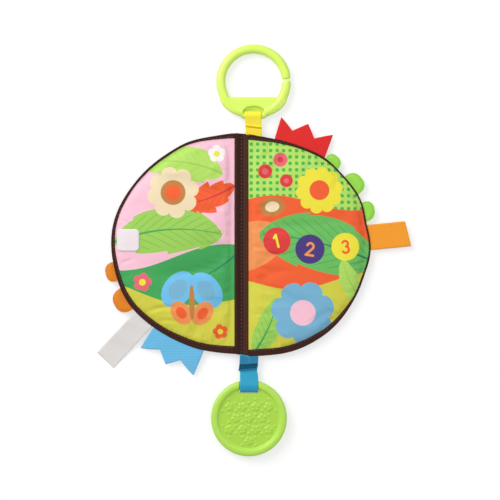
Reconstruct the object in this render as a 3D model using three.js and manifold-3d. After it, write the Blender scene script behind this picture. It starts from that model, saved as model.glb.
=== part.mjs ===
// A round crinkle cloth book for a baby, lying open and flat with both covers up.
// Millimetres, +Z up. The origin is on the table under the middle of the spine.
// +Y points along the spine to the hanging ring, and +X to the half with the closing strap.
import * as THREE from 'three';
import { mergeVertices } from 'three/addons/utils/BufferGeometryUtils.js';
import Module from 'manifold-3d';

const wasm = await Module();
wasm.setup();

// Clearances
const layerGap = 0.3; // between cloth layers and between any two pieces that meet
const hingeClearance = 0.5; // from a cover's hinge line to its first thread
const cutOverrun = 2; // how far every cut runs past the piece it cuts

// Whole book
const reach = 110.7; // from the spine to the fore edge
const halfHeight = 94.8; // from the middle of the spine to its end
const leftShift = 1.3; // the halves were sewn a little apart along the spine
const rightShift = -2.1;
const padCentreShare = 0.45; // where a half's crown is highest, as a share of the reach

// Inner page, one on each side
const pageInset = 3.5; // the pages are cut this much smaller than the covers
const pagePanel = 0.5;
const pageBindingWall = 0.35;
const pageBindingLeg = 2.4;
const pageHemWidth = 2.5;
const pageDishRun = 3.5; // over this width the page swells from its hem to its full thickness
const fillerMargin = 1;
const tapeWidth = 1.2;
const tapeEndMargin = 8;

// Covers
const coverPanel = 0.6;
const coverBindingWall = 0.7;
const coverBindingLeg = 3.2;
const coverBindingEase = 0.6; // chamfer on the fold of the binding
const coverHemWidth = 4;
const coverLoft = 2.2; // how far the padded crown rises over the hem
const crownRun = 20; // over this width the crown rises from the hem
const dishRun = 6; // over this width the lining drops from the hem to the page
const filmThickness = 0.4;
const waddingMargin = 3;
const bindingEndMargin = 0.4;

// Spine
const stripThickness = 0.6;
const stripEndMargin = 0.8;
const gutterThickness = 0.9;
const gutterEndMargin = 2;

// Tabs sewn into the seam
const tabHingeOffset = 1;
const crownThickness = 1;
const crownWidth = 46.5;
const crownTip = 19.5;
const crownValley = 11.2;
const scallopRim = 0.8;
const scallopPuff = 1.8;
const scallopPuffInset = 3;
const labelWidth = 16.2;
const labelLength = 46.5;
const labelThickness = 0.5;

// Closing strap with its hook patch, and the loop patch that it lands on
const strapAngle = 4.9;
const strapWidth = 21;
const strapLength = 34.5;
const strapThickness = 0.8;
const strapEndSlant = 3;
const hookThickness = 0.9;
const hookMargin = 1.6;
const loopPatchWidth = 19;
const loopPatchLength = 19.5;
const loopPatchThickness = 0.8;
const loopPatchCorner = 3;
const loopPatchMargin = 1.5; // from the binding to the patch
const loopPatchY = 3.6;

// Hanging ring and its ribbon
const ringX = 10.3;
const ringRadius = 31.9;
const ringTube = 8;
const ringBarTop = 13.1; // how far the bar's flat side lies below the ring's centre
const ringBarThickness = 6.4;
const ringBarEase = 0.8;
const ringSlotWidth = 18.4;
const ringSlotRise = 5;
const ringLipRadius = 3;
const snapGap = 0.8;
const snapAngle = 3.1;
const snapEase = 1.2;
const hangingRibbonWidth = 14;
const hangingRibbonStitched = 6.4;
const hangingRibbonLength = 16.2;
const ribbonThickness = 0.6;
const ribbonRootGap = 0.7; // room for the doubled ribbon to turn at the binding

// Teether and its ribbon
const teetherX = 6.3;
const teetherRadius = 32.3;
const teetherThickness = 8.6;
const teetherRimWidth = 6.4;
const teetherWeb = 4;
const teetherSlotWidth = 18;
const teetherSlotHeight = 4.6;
const teetherNeckRadius = 3.3;
const teetherNeckInset = 4.3;
const teetherRibbonWidth = 15.4;
const teetherRibbonStitched = 11;
const teetherRibbonLength = 22;
const dotRadius = 1.9;
const dotRise = 0.7;
const dotEase = 0.5;
const dotSpacing = 8.4;

// Facets
const roundSteps = 28; // along the round edge of a half
const straightSteps = 7; // along its spine edge
const ringSteps = 40;
const tubeSides = 10;
const discSteps = 36;
const neckSides = 14;
const loopSteps = 16;
const dotSides = 8;

// Heights that follow from the layers
const pageEdge = pagePanel + layerGap / 2 + layerGap + pageBindingWall;
const pageThickness = 2 * pageEdge;
const coverEdgeHalf = coverPanel + layerGap / 2 + layerGap + coverBindingWall;
const edgeHeight = pageThickness + layerGap + coverEdgeHalf;
const hingeHeight = edgeHeight;
const hingeOffset = hingeHeight + gutterThickness / 2 + layerGap;
const innerEdge = hingeOffset + hingeClearance;
const panelInset = coverBindingWall + layerGap;
const outerHem = edgeHeight + layerGap / 2;
const innerHem = edgeHeight - layerGap / 2 - coverPanel;
const innerField = pageThickness + layerGap;
const crownTop = outerHem + coverLoft + coverPanel;
const loopPatchX = -(reach - coverBindingLeg - loopPatchMargin - loopPatchLength / 2);

// Rise of the padded crown: [share of its run past the hem, share of the loft]
const crownShares = [[0, 0], [0.2, 0.5], [0.5, 0.82], [1, 1]];

// The zigzag of a felt crown: [share of its half width, 1 for a tip and 0 for a valley]
const zigzagShares = [[-1.03, 1], [-0.5, 0], [0, 1], [0.5, 0], [1.03, 1]];

const halves = {
  left: { name: 'left', sign: -1, shift: leftShift },
  right: { name: 'right', sign: 1, shift: rightShift },
};

// Scallops along the edge: angle on the half's ellipse in degrees, width and height
const scallops = [
  { name: 'green_scallop_1', half: halves.right, angle: 46.3, width: 15.4, height: 8.2 },
  { name: 'green_scallop_2', half: halves.right, angle: 32.7, width: 20, height: 11 },
  { name: 'green_scallop_3', half: halves.right, angle: 18.2, width: 16.8, height: 9.2 },
  { name: 'orange_scallop_1', half: halves.left, angle: -14.8, width: 16.8, height: 8.4 },
  { name: 'orange_scallop_2', half: halves.left, angle: -29.5, width: 21, height: 11 },
];
const redCrownAngle = 63.2;
const blueCrownAngle = -60.8;
const labelAngle = -42.3;

const book = new THREE.Group();
book.name = 'crinkle_cloth_book';

function finish(color, roughness, metalness = 0) {
  return new THREE.MeshStandardMaterial({ color, roughness, metalness });
}

const finishes = {
  brownTape: finish(0x4a2a20, 0.85),
  leftPrint: finish(0x9ccb58, 0.6),
  rightPrint: finish(0x62b957, 0.6),
  lining: finish(0xe9dfa9, 0.7),
  pagePrint: finish(0xf3c6d2, 0.7),
  pageBack: finish(0xcfe7f2, 0.7),
  wadding: finish(0xf4f2ee, 0.95),
  film: finish(0xd9dde2, 0.3),
  yellowRibbon: finish(0xf8e04b, 0.5),
  blueRibbon: finish(0x319fc0, 0.5),
  orangeStrap: finish(0xfba62d, 0.6),
  redFelt: finish(0xd8322c, 0.9),
  blueFelt: finish(0x74c2ec, 0.9),
  greenSatin: finish(0x93d94f, 0.55),
  orangeSatin: finish(0xe3811a, 0.55),
  label: finish(0xdcd7d4, 0.5),
  hookTape: finish(0xf0b04a, 0.8),
  loopTape: finish(0xf1dde1, 0.9),
  limePlastic: finish(0xcdf45c, 0.3),
  teetherPlastic: finish(0xa8dc46, 0.4),
};

function plain(geometry) {
  const bare = geometry.index ? geometry.clone() : geometry;
  bare.deleteAttribute('normal');
  if (bare.getAttribute('uv')) bare.deleteAttribute('uv');
  return mergeVertices(bare);
}

function toManifold(geometry) {
  const merged = plain(geometry);
  return new wasm.Manifold(new wasm.Mesh({
    numProp: 3,
    vertProperties: new Float32Array(merged.getAttribute('position').array),
    triVerts: new Uint32Array(merged.index.array),
  }));
}

function fromManifold(manifold) {
  const cut = manifold.getMesh();
  const geometry = new THREE.BufferGeometry();
  geometry.setAttribute('position', new THREE.BufferAttribute(cut.vertProperties, 3));
  geometry.setIndex(new THREE.BufferAttribute(cut.triVerts, 1));
  return geometry;
}

function fromPoints(points, triangles) {
  const geometry = new THREE.BufferGeometry();
  geometry.setAttribute('position', new THREE.Float32BufferAttribute(points.flat(), 3));
  geometry.setIndex(triangles);
  return geometry;
}

function addPiece(name, geometry, material, parent = book) {
  const shown = geometry.getAttribute('normal') ? geometry : geometry.toNonIndexed();
  shown.computeVertexNormals();
  const mesh = new THREE.Mesh(shown, material);
  mesh.name = name;
  parent.add(mesh);
  return mesh;
}

// A height between the rings of a profile, at a distance in from the rim
function heightAt(rings, inset) {
  for (let i = 1; i < rings.length; i += 1) {
    const [before, after] = [rings[i - 1], rings[i]];
    if (inset <= after.inset) {
      const share = Math.max(0, (inset - before.inset) / (after.inset - before.inset));
      return before.z + (after.z - before.z) * share;
    }
  }
  return rings[rings.length - 1].z;
}

// The edge of a half, anticlockwise from above: a round edge and a straight one at the spine
function halfOutline(half, inset) {
  const across = reach - inset;
  const along = halfHeight - inset;
  const startAngle = Math.acos(innerEdge / across);
  const round = [];
  for (let i = 0; i <= roundSteps; i += 1) {
    const angle = startAngle * (1 - 2 * i / roundSteps);
    const x = half.sign * across * Math.cos(angle);
    round.push([x, half.shift + along * Math.sin(angle)]);
  }
  const outline = [...round];
  const [top, bottom] = [round[0], round[roundSteps]];
  for (let i = 1; i < straightSteps; i += 1) {
    outline.push([bottom[0], bottom[1] + (top[1] - bottom[1]) * i / straightSteps]);
  }
  return half.sign > 0 ? outline.reverse() : outline;
}

function padCentre(half) {
  return [half.sign * reach * padCentreShare, half.shift];
}

// A closed pad: rings of the rim drawn in towards the centre, above and below
function ringedSolid(rim, centre, bottomRings, topRings) {
  const count = rim.length;
  const points = [];
  const triangles = [];
  const addSurface = (rings, faceUp) => {
    const first = points.length;
    for (const ring of rings) {
      for (const [x, y] of rim) {
        const run = Math.hypot(x - centre[0], y - centre[1]);
        const share = 1 - ring.inset / run;
        points.push([centre[0] + (x - centre[0]) * share, centre[1] + (y - centre[1]) * share, ring.z]);
      }
    }
    points.push([centre[0], centre[1], rings[rings.length - 1].z]);
    const middle = points.length - 1;
    const face = (a, b, c) => triangles.push(...(faceUp ? [a, b, c] : [a, c, b]));
    for (let i = 0; i < count; i += 1) {
      const next = (i + 1) % count;
      for (let k = 0; k < rings.length - 1; k += 1) {
        const outer = first + k * count;
        const inner = outer + count;
        face(outer + i, outer + next, inner + next);
        face(outer + i, inner + next, inner + i);
      }
      const last = first + (rings.length - 1) * count;
      face(last + i, last + next, middle);
    }
    return first;
  };
  const below = addSurface(bottomRings, false);
  const above = addSurface(topRings, true);
  for (let i = 0; i < count; i += 1) {
    const next = (i + 1) % count;
    triangles.push(below + i, below + next, above + next);
    triangles.push(below + i, above + next, above + i);
  }
  return fromPoints(points, triangles);
}

// A closed sweep of one section: profile points are [outward, up] from each station
function sweptSolid(stations, profile) {
  const sides = profile.length;
  const points = [];
  const triangles = [];
  for (const { position, outward, scale } of stations) {
    for (const [out, up] of profile) {
      const shift = out * scale;
      const [x, y] = [position[0] + outward[0] * shift, position[1] + outward[1] * shift];
      points.push([x, y, position[2] + up * scale]);
    }
  }
  for (let s = 0; s < stations.length - 1; s += 1) {
    for (let i = 0; i < sides; i += 1) {
      const next = (i + 1) % sides;
      const [a, b] = [s * sides + i, s * sides + next];
      triangles.push(a, b, b + sides, a, b + sides, a + sides);
    }
  }
  const flat = profile.map(([out, up]) => new THREE.Vector2(out, up));
  const last = (stations.length - 1) * sides;
  const turn = Math.sign(THREE.ShapeUtils.area(flat));
  for (const corners of THREE.ShapeUtils.triangulateShape(flat, [])) {
    const same = Math.sign(THREE.ShapeUtils.area(corners.map((i) => flat[i]))) === turn;
    const [a, b, c] = same ? corners : [...corners].reverse();
    triangles.push(a, c, b);
    triangles.push(last + a, last + b, last + c);
  }
  return fromPoints(points, triangles);
}

// A point on the outer edge of a half, the way out from it and how round the edge is there
function edgeFrame(half, degrees, inset = 0) {
  const angle = THREE.MathUtils.degToRad(degrees);
  const across = reach - inset;
  const along = halfHeight - inset;
  const point = [half.sign * across * Math.cos(angle), half.shift + along * Math.sin(angle)];
  const steep = [half.sign * Math.cos(angle) / across, Math.sin(angle) / along];
  const size = Math.hypot(...steep);
  const bend = Math.hypot(across * Math.sin(angle), along * Math.cos(angle));
  return {
    point,
    outward: [steep[0] / size, steep[1] / size],
    roundness: bend ** 3 / (across * along),
  };
}

// Folded tape that grips the round edge of a half, open towards the middle
function binding(half, inset, height, halfThickness, wall, leg, ease) {
  const start = Math.acos((innerEdge + bindingEndMargin) / (reach - inset));
  const startDegrees = THREE.MathUtils.radToDeg(start);
  const stations = [];
  for (let i = 0; i <= roundSteps; i += 1) {
    const degrees = -half.sign * startDegrees * (1 - 2 * i / roundSteps);
    const { point, outward } = edgeFrame(half, degrees, inset);
    stations.push({ position: [point[0], point[1], height], outward, scale: 1 });
  }
  const inside = halfThickness - wall;
  const upper = [[-ease, halfThickness], [-leg, halfThickness], [-leg, inside], [-wall, inside]];
  const lower = upper.map(([out, up]) => [out, -up]).reverse();
  const fold = [[0, -halfThickness + ease], [0, halfThickness - ease]];
  return sweptSolid(stations, [...fold, ...upper, ...lower].reverse());
}

function lift(rings, rise) {
  return rings.map(({ inset, z }) => ({ inset, z: z + rise }));
}

const outerCrown = [
  { inset: 0, z: outerHem },
  ...crownShares.map(([run, rise]) => (
    { inset: coverHemWidth + run * crownRun, z: outerHem + rise * coverLoft })),
];
const innerDish = [
  { inset: 0, z: innerHem },
  { inset: coverHemWidth, z: innerHem },
  { inset: coverHemWidth + dishRun, z: innerField },
];

function addCover(half) {
  const rim = halfOutline(half, panelInset);
  const centre = padCentre(half);
  const print = half.sign < 0 ? finishes.leftPrint : finishes.rightPrint;
  addPiece(`${half.name}_outer_panel`,
    ringedSolid(rim, centre, outerCrown, lift(outerCrown, coverPanel)), print);
  addPiece(`${half.name}_inner_panel`,
    ringedSolid(rim, centre, innerDish, lift(innerDish, coverPanel)), finishes.lining);

  const filmBottom = innerField + coverPanel + layerGap;
  const filmTop = filmBottom + filmThickness;
  const filmInset = coverHemWidth + dishRun;
  addPiece(`${half.name}_crinkle_film`,
    ringedSolid(rim, centre, [{ inset: filmInset, z: filmBottom }], [{ inset: filmInset, z: filmTop }]),
    finishes.film);

  const waddingInset = coverHemWidth + waddingMargin;
  const waddingTop = [waddingInset, coverHemWidth + crownRun * crownShares[2][0], coverHemWidth + crownRun]
    .map((inset) => ({ inset, z: heightAt(outerCrown, inset) - layerGap }));
  addPiece(`${half.name}_wadding`,
    ringedSolid(rim, centre, [{ inset: waddingInset, z: filmTop + layerGap }], waddingTop), finishes.wadding);

  addPiece(`${half.name}_binding`,
    binding(half, 0, edgeHeight, coverEdgeHalf, coverBindingWall, coverBindingLeg, coverBindingEase),
    finishes.brownTape);
}

function addPage(half) {
  const rim = halfOutline(half, pageInset + pageBindingWall + layerGap);
  const centre = padCentre(half);
  const dish = (hem, field) => [
    { inset: 0, z: hem },
    { inset: pageHemWidth, z: hem },
    { inset: pageHemWidth + pageDishRun, z: field },
  ];
  const backDish = dish(pageEdge - layerGap / 2 - pagePanel, 0);
  const frontDish = dish(pageEdge + layerGap / 2, pageThickness - pagePanel);
  addPiece(`${half.name}_page_back`,
    ringedSolid(rim, centre, backDish, lift(backDish, pagePanel)), finishes.pageBack);
  addPiece(`${half.name}_page_front`,
    ringedSolid(rim, centre, frontDish, lift(frontDish, pagePanel)), finishes.pagePrint);

  const inset = pageHemWidth + pageDishRun + fillerMargin;
  const fillerBottom = pagePanel + layerGap;
  const fillerTop = pageThickness - pagePanel - layerGap;
  addPiece(`${half.name}_page_crinkle_film`,
    ringedSolid(rim, centre, [{ inset, z: fillerBottom }], [{ inset, z: fillerTop }]), finishes.film);
  addPiece(`${half.name}_page_binding`,
    binding(half, pageInset, pageEdge, pageEdge, pageBindingWall, pageBindingLeg, pageBindingWall),
    finishes.brownTape);

  // The tape that carries the page in the spine seam, between page hem and cover hem
  const tapeBottom = pageEdge + layerGap / 2 + pagePanel + layerGap;
  const tapeTop = innerHem - layerGap;
  const tapeLength = 2 * (halfHeight - pageInset - tapeEndMargin);
  const tape = new THREE.BoxGeometry(tapeWidth, tapeLength, tapeTop - tapeBottom);
  tape.translate(half.sign * (innerEdge + tapeWidth / 2), half.shift, (tapeTop + tapeBottom) / 2);
  addPiece(`${half.name}_page_tape`, tape, finishes.brownTape);
}

function addSpine() {
  const topEnd = halfHeight + Math.min(leftShift, rightShift) - stripEndMargin;
  const bottomEnd = -halfHeight + Math.max(leftShift, rightShift) + stripEndMargin;
  const strip = new THREE.BoxGeometry(2 * (innerEdge - layerGap), topEnd - bottomEnd, stripThickness);
  strip.translate(0, (topEnd + bottomEnd) / 2, hingeHeight);
  addPiece('spine_strip', strip, finishes.brownTape);

  const gutterTop = hingeHeight - stripThickness / 2 - layerGap;
  const pageEnd = halfHeight - pageInset - gutterEndMargin;
  const [gutterStart, gutterEnd] = [leftShift - pageEnd, rightShift + pageEnd];
  const gutter = new THREE.BoxGeometry(gutterThickness, gutterEnd - gutterStart, gutterTop);
  gutter.translate(0, (gutterStart + gutterEnd) / 2, gutterTop / 2);
  addPiece('gutter_fold', gutter, finishes.brownTape);
}

// A group on the seam of a half: local +X points outwards and local Z = 0 is the seam's height
function seamGroup(name, half, degrees) {
  const { point, outward, roundness } = edgeFrame(half, degrees);
  const group = new THREE.Group();
  group.name = `${name}_seam`;
  group.position.set(point[0], point[1], edgeHeight);
  group.rotation.z = Math.atan2(outward[1], outward[0]);
  book.add(group);
  return { group, roundness };
}

// How far the seam falls back from the straight line at a distance along it
function fallBack(along, roundness) {
  return along ** 2 / (2 * roundness);
}

function tabBase(width, roundness, steps) {
  const base = [];
  for (let i = 0; i <= steps; i += 1) {
    const along = width * (0.5 - i / steps);
    base.push([layerGap - fallBack(along, roundness), along]);
  }
  return base;
}

function flatTab(outline, thickness) {
  const shape = new THREE.Shape(outline.map(([x, y]) => new THREE.Vector2(x, y)));
  const geometry = new THREE.ExtrudeGeometry(shape, { depth: thickness, bevelEnabled: false });
  geometry.translate(0, 0, -thickness / 2);
  return geometry;
}

function addCrown(name, half, degrees, material) {
  const { group, roundness } = seamGroup(name, half, degrees);
  const baseSteps = 6;
  const teeth = zigzagShares.map(([side, tip]) => {
    const along = side * crownWidth / 2;
    return [crownValley + (crownTip - crownValley) * tip - fallBack(along, roundness), along];
  });
  const base = tabBase(crownWidth, roundness, baseSteps);
  addPiece(name, flatTab([...base, ...teeth], crownThickness), material, group);
}

function addScallop({ name, half, angle, width, height }) {
  const { group, roundness } = seamGroup(name, half, angle);
  const baseSteps = 4;
  const domeSteps = 12;
  const domeShare = 0.75; // under 1 the dome is fuller than an ellipse
  const rim = tabBase(width, roundness, baseSteps);
  for (let i = 1; i < domeSteps; i += 1) {
    const turn = Math.PI * i / domeSteps;
    const [cos, sin] = [Math.cos(turn), Math.sin(turn)];
    const along = -Math.sign(cos) * Math.abs(cos) ** domeShare * width / 2;
    rim.push([layerGap + (height - layerGap) * sin ** domeShare - fallBack(along, roundness), along]);
  }
  const centre = [height / 2, 0];
  const puffed = (side) => [
    { inset: 0, z: side * scallopRim / 2 },
    { inset: scallopPuffInset, z: side * scallopPuff / 2 },
  ];
  const material = half.sign > 0 ? finishes.greenSatin : finishes.orangeSatin;
  addPiece(name, ringedSolid(rim, centre, puffed(-1), puffed(1)), material, group);
}

// The label is too long to stand out on its own, so its end lies on the table
function addLabel() {
  const { group } = seamGroup('care_label', halves.left, labelAngle);
  const label = new THREE.BoxGeometry(labelLength, labelWidth, labelThickness);
  const droop = Math.asin((edgeHeight - labelThickness) / labelLength);
  label.translate(labelLength / 2, 0, 0);
  label.rotateY(droop);
  label.translate(layerGap, 0, 0);
  addPiece('care_label', label, finishes.label, group);
}

function addStrap() {
  const { group } = seamGroup('closing_strap', halves.right, strapAngle);
  // The first stretch is just long enough to wrap the fore edges of the closed book
  const closedPlane = hingeHeight - hingeOffset;
  const patchTop = crownTop + layerGap + loopPatchThickness;
  const wrap = edgeHeight + layerGap + hookThickness + patchTop - 2 * closedPlane + layerGap;
  const foldAt = tabHingeOffset + wrap;
  const rootEnd = foldAt - layerGap / 2;
  const root = new THREE.BoxGeometry(rootEnd - layerGap, strapWidth, strapThickness);
  root.translate((rootEnd + layerGap) / 2, 0, 0);
  addPiece('strap_root', root, finishes.orangeStrap, group);

  const tipStart = foldAt + layerGap / 2;
  const outline = [
    [tipStart, -strapWidth / 2],
    [strapLength + strapEndSlant / 2, -strapWidth / 2],
    [strapLength - strapEndSlant / 2, strapWidth / 2],
    [tipStart, strapWidth / 2],
  ];
  addPiece('strap_tip', flatTab(outline, strapThickness), finishes.orangeStrap, group);

  const hookLength = strapLength - strapEndSlant / 2 - tipStart - 2 * hookMargin;
  const hook = new THREE.BoxGeometry(hookLength, strapWidth - 2 * hookMargin, hookThickness);
  const hookHeight = -strapThickness / 2 - layerGap - hookThickness / 2;
  hook.translate(tipStart + hookMargin + hookLength / 2, 0, hookHeight);
  addPiece('hook_patch', hook, finishes.hookTape, group);
}

// The loop patch follows the rise of the left cover's crown
function addLoopPatch() {
  const steps = 6;
  const centre = padCentre(halves.left);
  const points = [];
  const triangles = [];
  const surface = lift(outerCrown, coverPanel + layerGap);
  for (const rise of [0, loopPatchThickness]) {
    for (let i = 0; i <= steps; i += 1) {
      for (const side of [-0.5, 0.5]) {
        const x = loopPatchX + loopPatchLength * (i / steps - 0.5);
        const y = loopPatchY + loopPatchWidth * side;
        const alongShare = (y - leftShift) / (halfHeight - panelInset);
        const across = (reach - panelInset) * Math.sqrt(1 - alongShare ** 2);
        points.push([x, y, heightAt(surface, across + x) + rise]);
      }
    }
  }
  const row = 2 * (steps + 1);
  for (let i = 0; i < steps; i += 1) {
    const a = 2 * i;
    triangles.push(a, a + 1, a + 3, a, a + 3, a + 2);
    triangles.push(row + a, row + a + 3, row + a + 1, row + a, row + a + 2, row + a + 3);
    triangles.push(a, a + 2, row + a + 2, a, row + a + 2, row + a);
    triangles.push(a + 1, row + a + 3, a + 3, a + 1, row + a + 1, row + a + 3);
  }
  const end = 2 * steps;
  triangles.push(0, row, row + 1, 0, row + 1, 1);
  triangles.push(end, end + 1, row + end + 1, end, row + end + 1, row + end);
  const sheet = toManifold(fromPoints(points, triangles));

  const [w, h, c] = [loopPatchLength / 2, loopPatchWidth / 2, loopPatchCorner];
  const shape = new THREE.Shape();
  shape.moveTo(-w + c, -h);
  shape.lineTo(w - c, -h);
  shape.absarc(w - c, -h + c, c, -Math.PI / 2, 0);
  shape.lineTo(w, h - c);
  shape.absarc(w - c, h - c, c, 0, Math.PI / 2);
  shape.lineTo(-w + c, h);
  shape.absarc(-w + c, h - c, c, Math.PI / 2, Math.PI);
  shape.lineTo(-w, -h + c);
  shape.absarc(-w + c, -h + c, c, Math.PI, Math.PI * 1.5);
  const cutter = new THREE.ExtrudeGeometry(shape, {
    depth: 2 * crownTop, bevelEnabled: false, curveSegments: 4,
  });
  cutter.translate(loopPatchX, loopPatchY, 0);
  addPiece('loop_patch', fromManifold(sheet.intersect(toManifold(cutter))), finishes.loopTape);
}

// A ribbon folded round a bar, its two layers stitched together from the seam out.
// The profile lies in X (away from the seam) and Y (up), and the bar's middle is at X = length.
function ribbonLoop(length, stitched, barRadius, width) {
  const outer = barRadius + layerGap + ribbonThickness;
  const inner = outer - ribbonThickness;
  const run = length - stitched;
  const lean = Math.asin(outer / Math.hypot(run, ribbonThickness)) - Math.atan2(ribbonThickness, run);
  const startTurn = Math.PI / 2 + lean;
  const arc = (radius) => {
    const points = [];
    for (let i = 0; i <= loopSteps; i += 1) {
      const turn = startTurn - 2 * startTurn * i / loopSteps;
      points.push(new THREE.Vector2(length + radius * Math.cos(turn), radius * Math.sin(turn)));
    }
    return points;
  };
  const flat = [
    new THREE.Vector2(0, -ribbonThickness),
    new THREE.Vector2(0, ribbonThickness),
    new THREE.Vector2(stitched, ribbonThickness),
  ];
  const edge = [...flat, ...arc(outer), new THREE.Vector2(stitched, -ribbonThickness)];
  const shape = new THREE.Shape(edge.reverse());
  const opening = new THREE.Vector2(stitched + ribbonThickness / 2, 0);
  shape.holes.push(new THREE.Path([opening, ...arc(inner)]));
  const geometry = new THREE.ExtrudeGeometry(shape, { depth: width, bevelEnabled: false });
  geometry.translate(0, 0, -width / 2);
  return geometry;
}

// Turns a ribbon profile so that it runs along +Y or -Y from the seam and sinks to the bar's height
function placeRibbon(geometry, way, x, seamY, length, barHeight) {
  geometry.rotateZ(Math.asin((barHeight - edgeHeight) / length));
  const turned = new THREE.Matrix4().makeBasis(
    new THREE.Vector3(0, way, 0), new THREE.Vector3(0, 0, 1), new THREE.Vector3(way, 0, 0));
  geometry.applyMatrix4(turned);
  geometry.translate(x, seamY, edgeHeight);
  return geometry;
}

function seamY(way, x, width) {
  const nearest = Math.max(0, Math.abs(x) - width / 2);
  const along = halfHeight * Math.sqrt(1 - (nearest / reach) ** 2);
  return rightShift + way * (along + ribbonRootGap);
}

function rod(radius, length, x, y) {
  const bar = new THREE.CylinderGeometry(radius, radius, length, neckSides);
  bar.rotateZ(Math.PI / 2);
  bar.translate(x, y, 0);
  return bar;
}

function addHangingRing() {
  const barHeight = ringTube / 2;
  const top = seamY(1, ringX, hangingRibbonWidth);
  const ribbon = ribbonLoop(hangingRibbonLength, hangingRibbonStitched, ringLipRadius, hangingRibbonWidth);
  addPiece('hanging_ribbon',
    placeRibbon(ribbon, 1, ringX, top, hangingRibbonLength, barHeight), finishes.yellowRibbon);

  // The ring: an open tube, a bar that closes its lower side and a round lip under a slot
  const centreLine = ringRadius - ringTube / 2;
  const start = THREE.MathUtils.degToRad(snapAngle) + snapGap / 2 / centreLine;
  const sweep = 2 * Math.PI - snapGap / centreLine;
  const endScale = 1 - snapEase / ringTube * 2;
  const stations = [];
  const addStation = (turn, scale) => stations.push({
    position: [centreLine * Math.cos(turn), centreLine * Math.sin(turn), 0],
    outward: [Math.cos(turn), Math.sin(turn)],
    scale,
  });
  const easeTurn = snapEase / centreLine;
  addStation(start, endScale);
  for (let i = 0; i <= ringSteps; i += 1) {
    addStation(start + easeTurn + (sweep - 2 * easeTurn) * i / ringSteps, 1);
  }
  addStation(start + sweep, endScale);
  const section = [];
  for (let i = 0; i < tubeSides; i += 1) {
    const turn = -2 * Math.PI * (i + 0.5) / tubeSides;
    section.push([ringTube / 2 * Math.cos(turn), ringTube / 2 * Math.sin(turn)]);
  }
  const tube = toManifold(sweptSolid(stations, section));

  const spread = Math.acos(ringBarTop / ringRadius);
  const barShape = new THREE.Shape();
  barShape.absarc(0, 0, ringRadius, -Math.PI / 2 - spread, -Math.PI / 2 + spread);
  const barGeometry = new THREE.ExtrudeGeometry(barShape, {
    depth: ringBarThickness - 2 * ringBarEase,
    bevelThickness: ringBarEase,
    bevelSize: ringBarEase,
    bevelOffset: -ringBarEase,
    bevelSegments: 1,
    curveSegments: ringSteps / 2,
  });
  barGeometry.translate(0, 0, ringBarEase - ringBarThickness / 2);

  const lipY = ringLipRadius - ringRadius;
  const slotBottom = lipY + ringLipRadius;
  const slotShape = new THREE.Shape();
  slotShape.moveTo(-ringSlotWidth / 2, -ringRadius - cutOverrun);
  slotShape.lineTo(ringSlotWidth / 2, -ringRadius - cutOverrun);
  slotShape.lineTo(ringSlotWidth / 2, slotBottom);
  slotShape.absellipse(0, slotBottom, ringSlotWidth / 2, ringSlotRise, 0, Math.PI);
  const slot = new THREE.ExtrudeGeometry(slotShape, {
    depth: ringTube + 2 * cutOverrun, bevelEnabled: false, curveSegments: loopSteps,
  });
  slot.translate(0, 0, -ringTube / 2 - cutOverrun);

  const ring = tube.add(toManifold(barGeometry))
    .subtract(toManifold(slot))
    .add(toManifold(rod(ringLipRadius, ringSlotWidth + 2 * ringLipRadius, 0, lipY)));
  const run = Math.sqrt(hangingRibbonLength ** 2 - (edgeHeight - barHeight) ** 2);
  const mesh = addPiece('hanging_ring', fromManifold(ring), finishes.limePlastic);
  mesh.position.set(ringX, top + run - lipY, barHeight);
}

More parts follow.
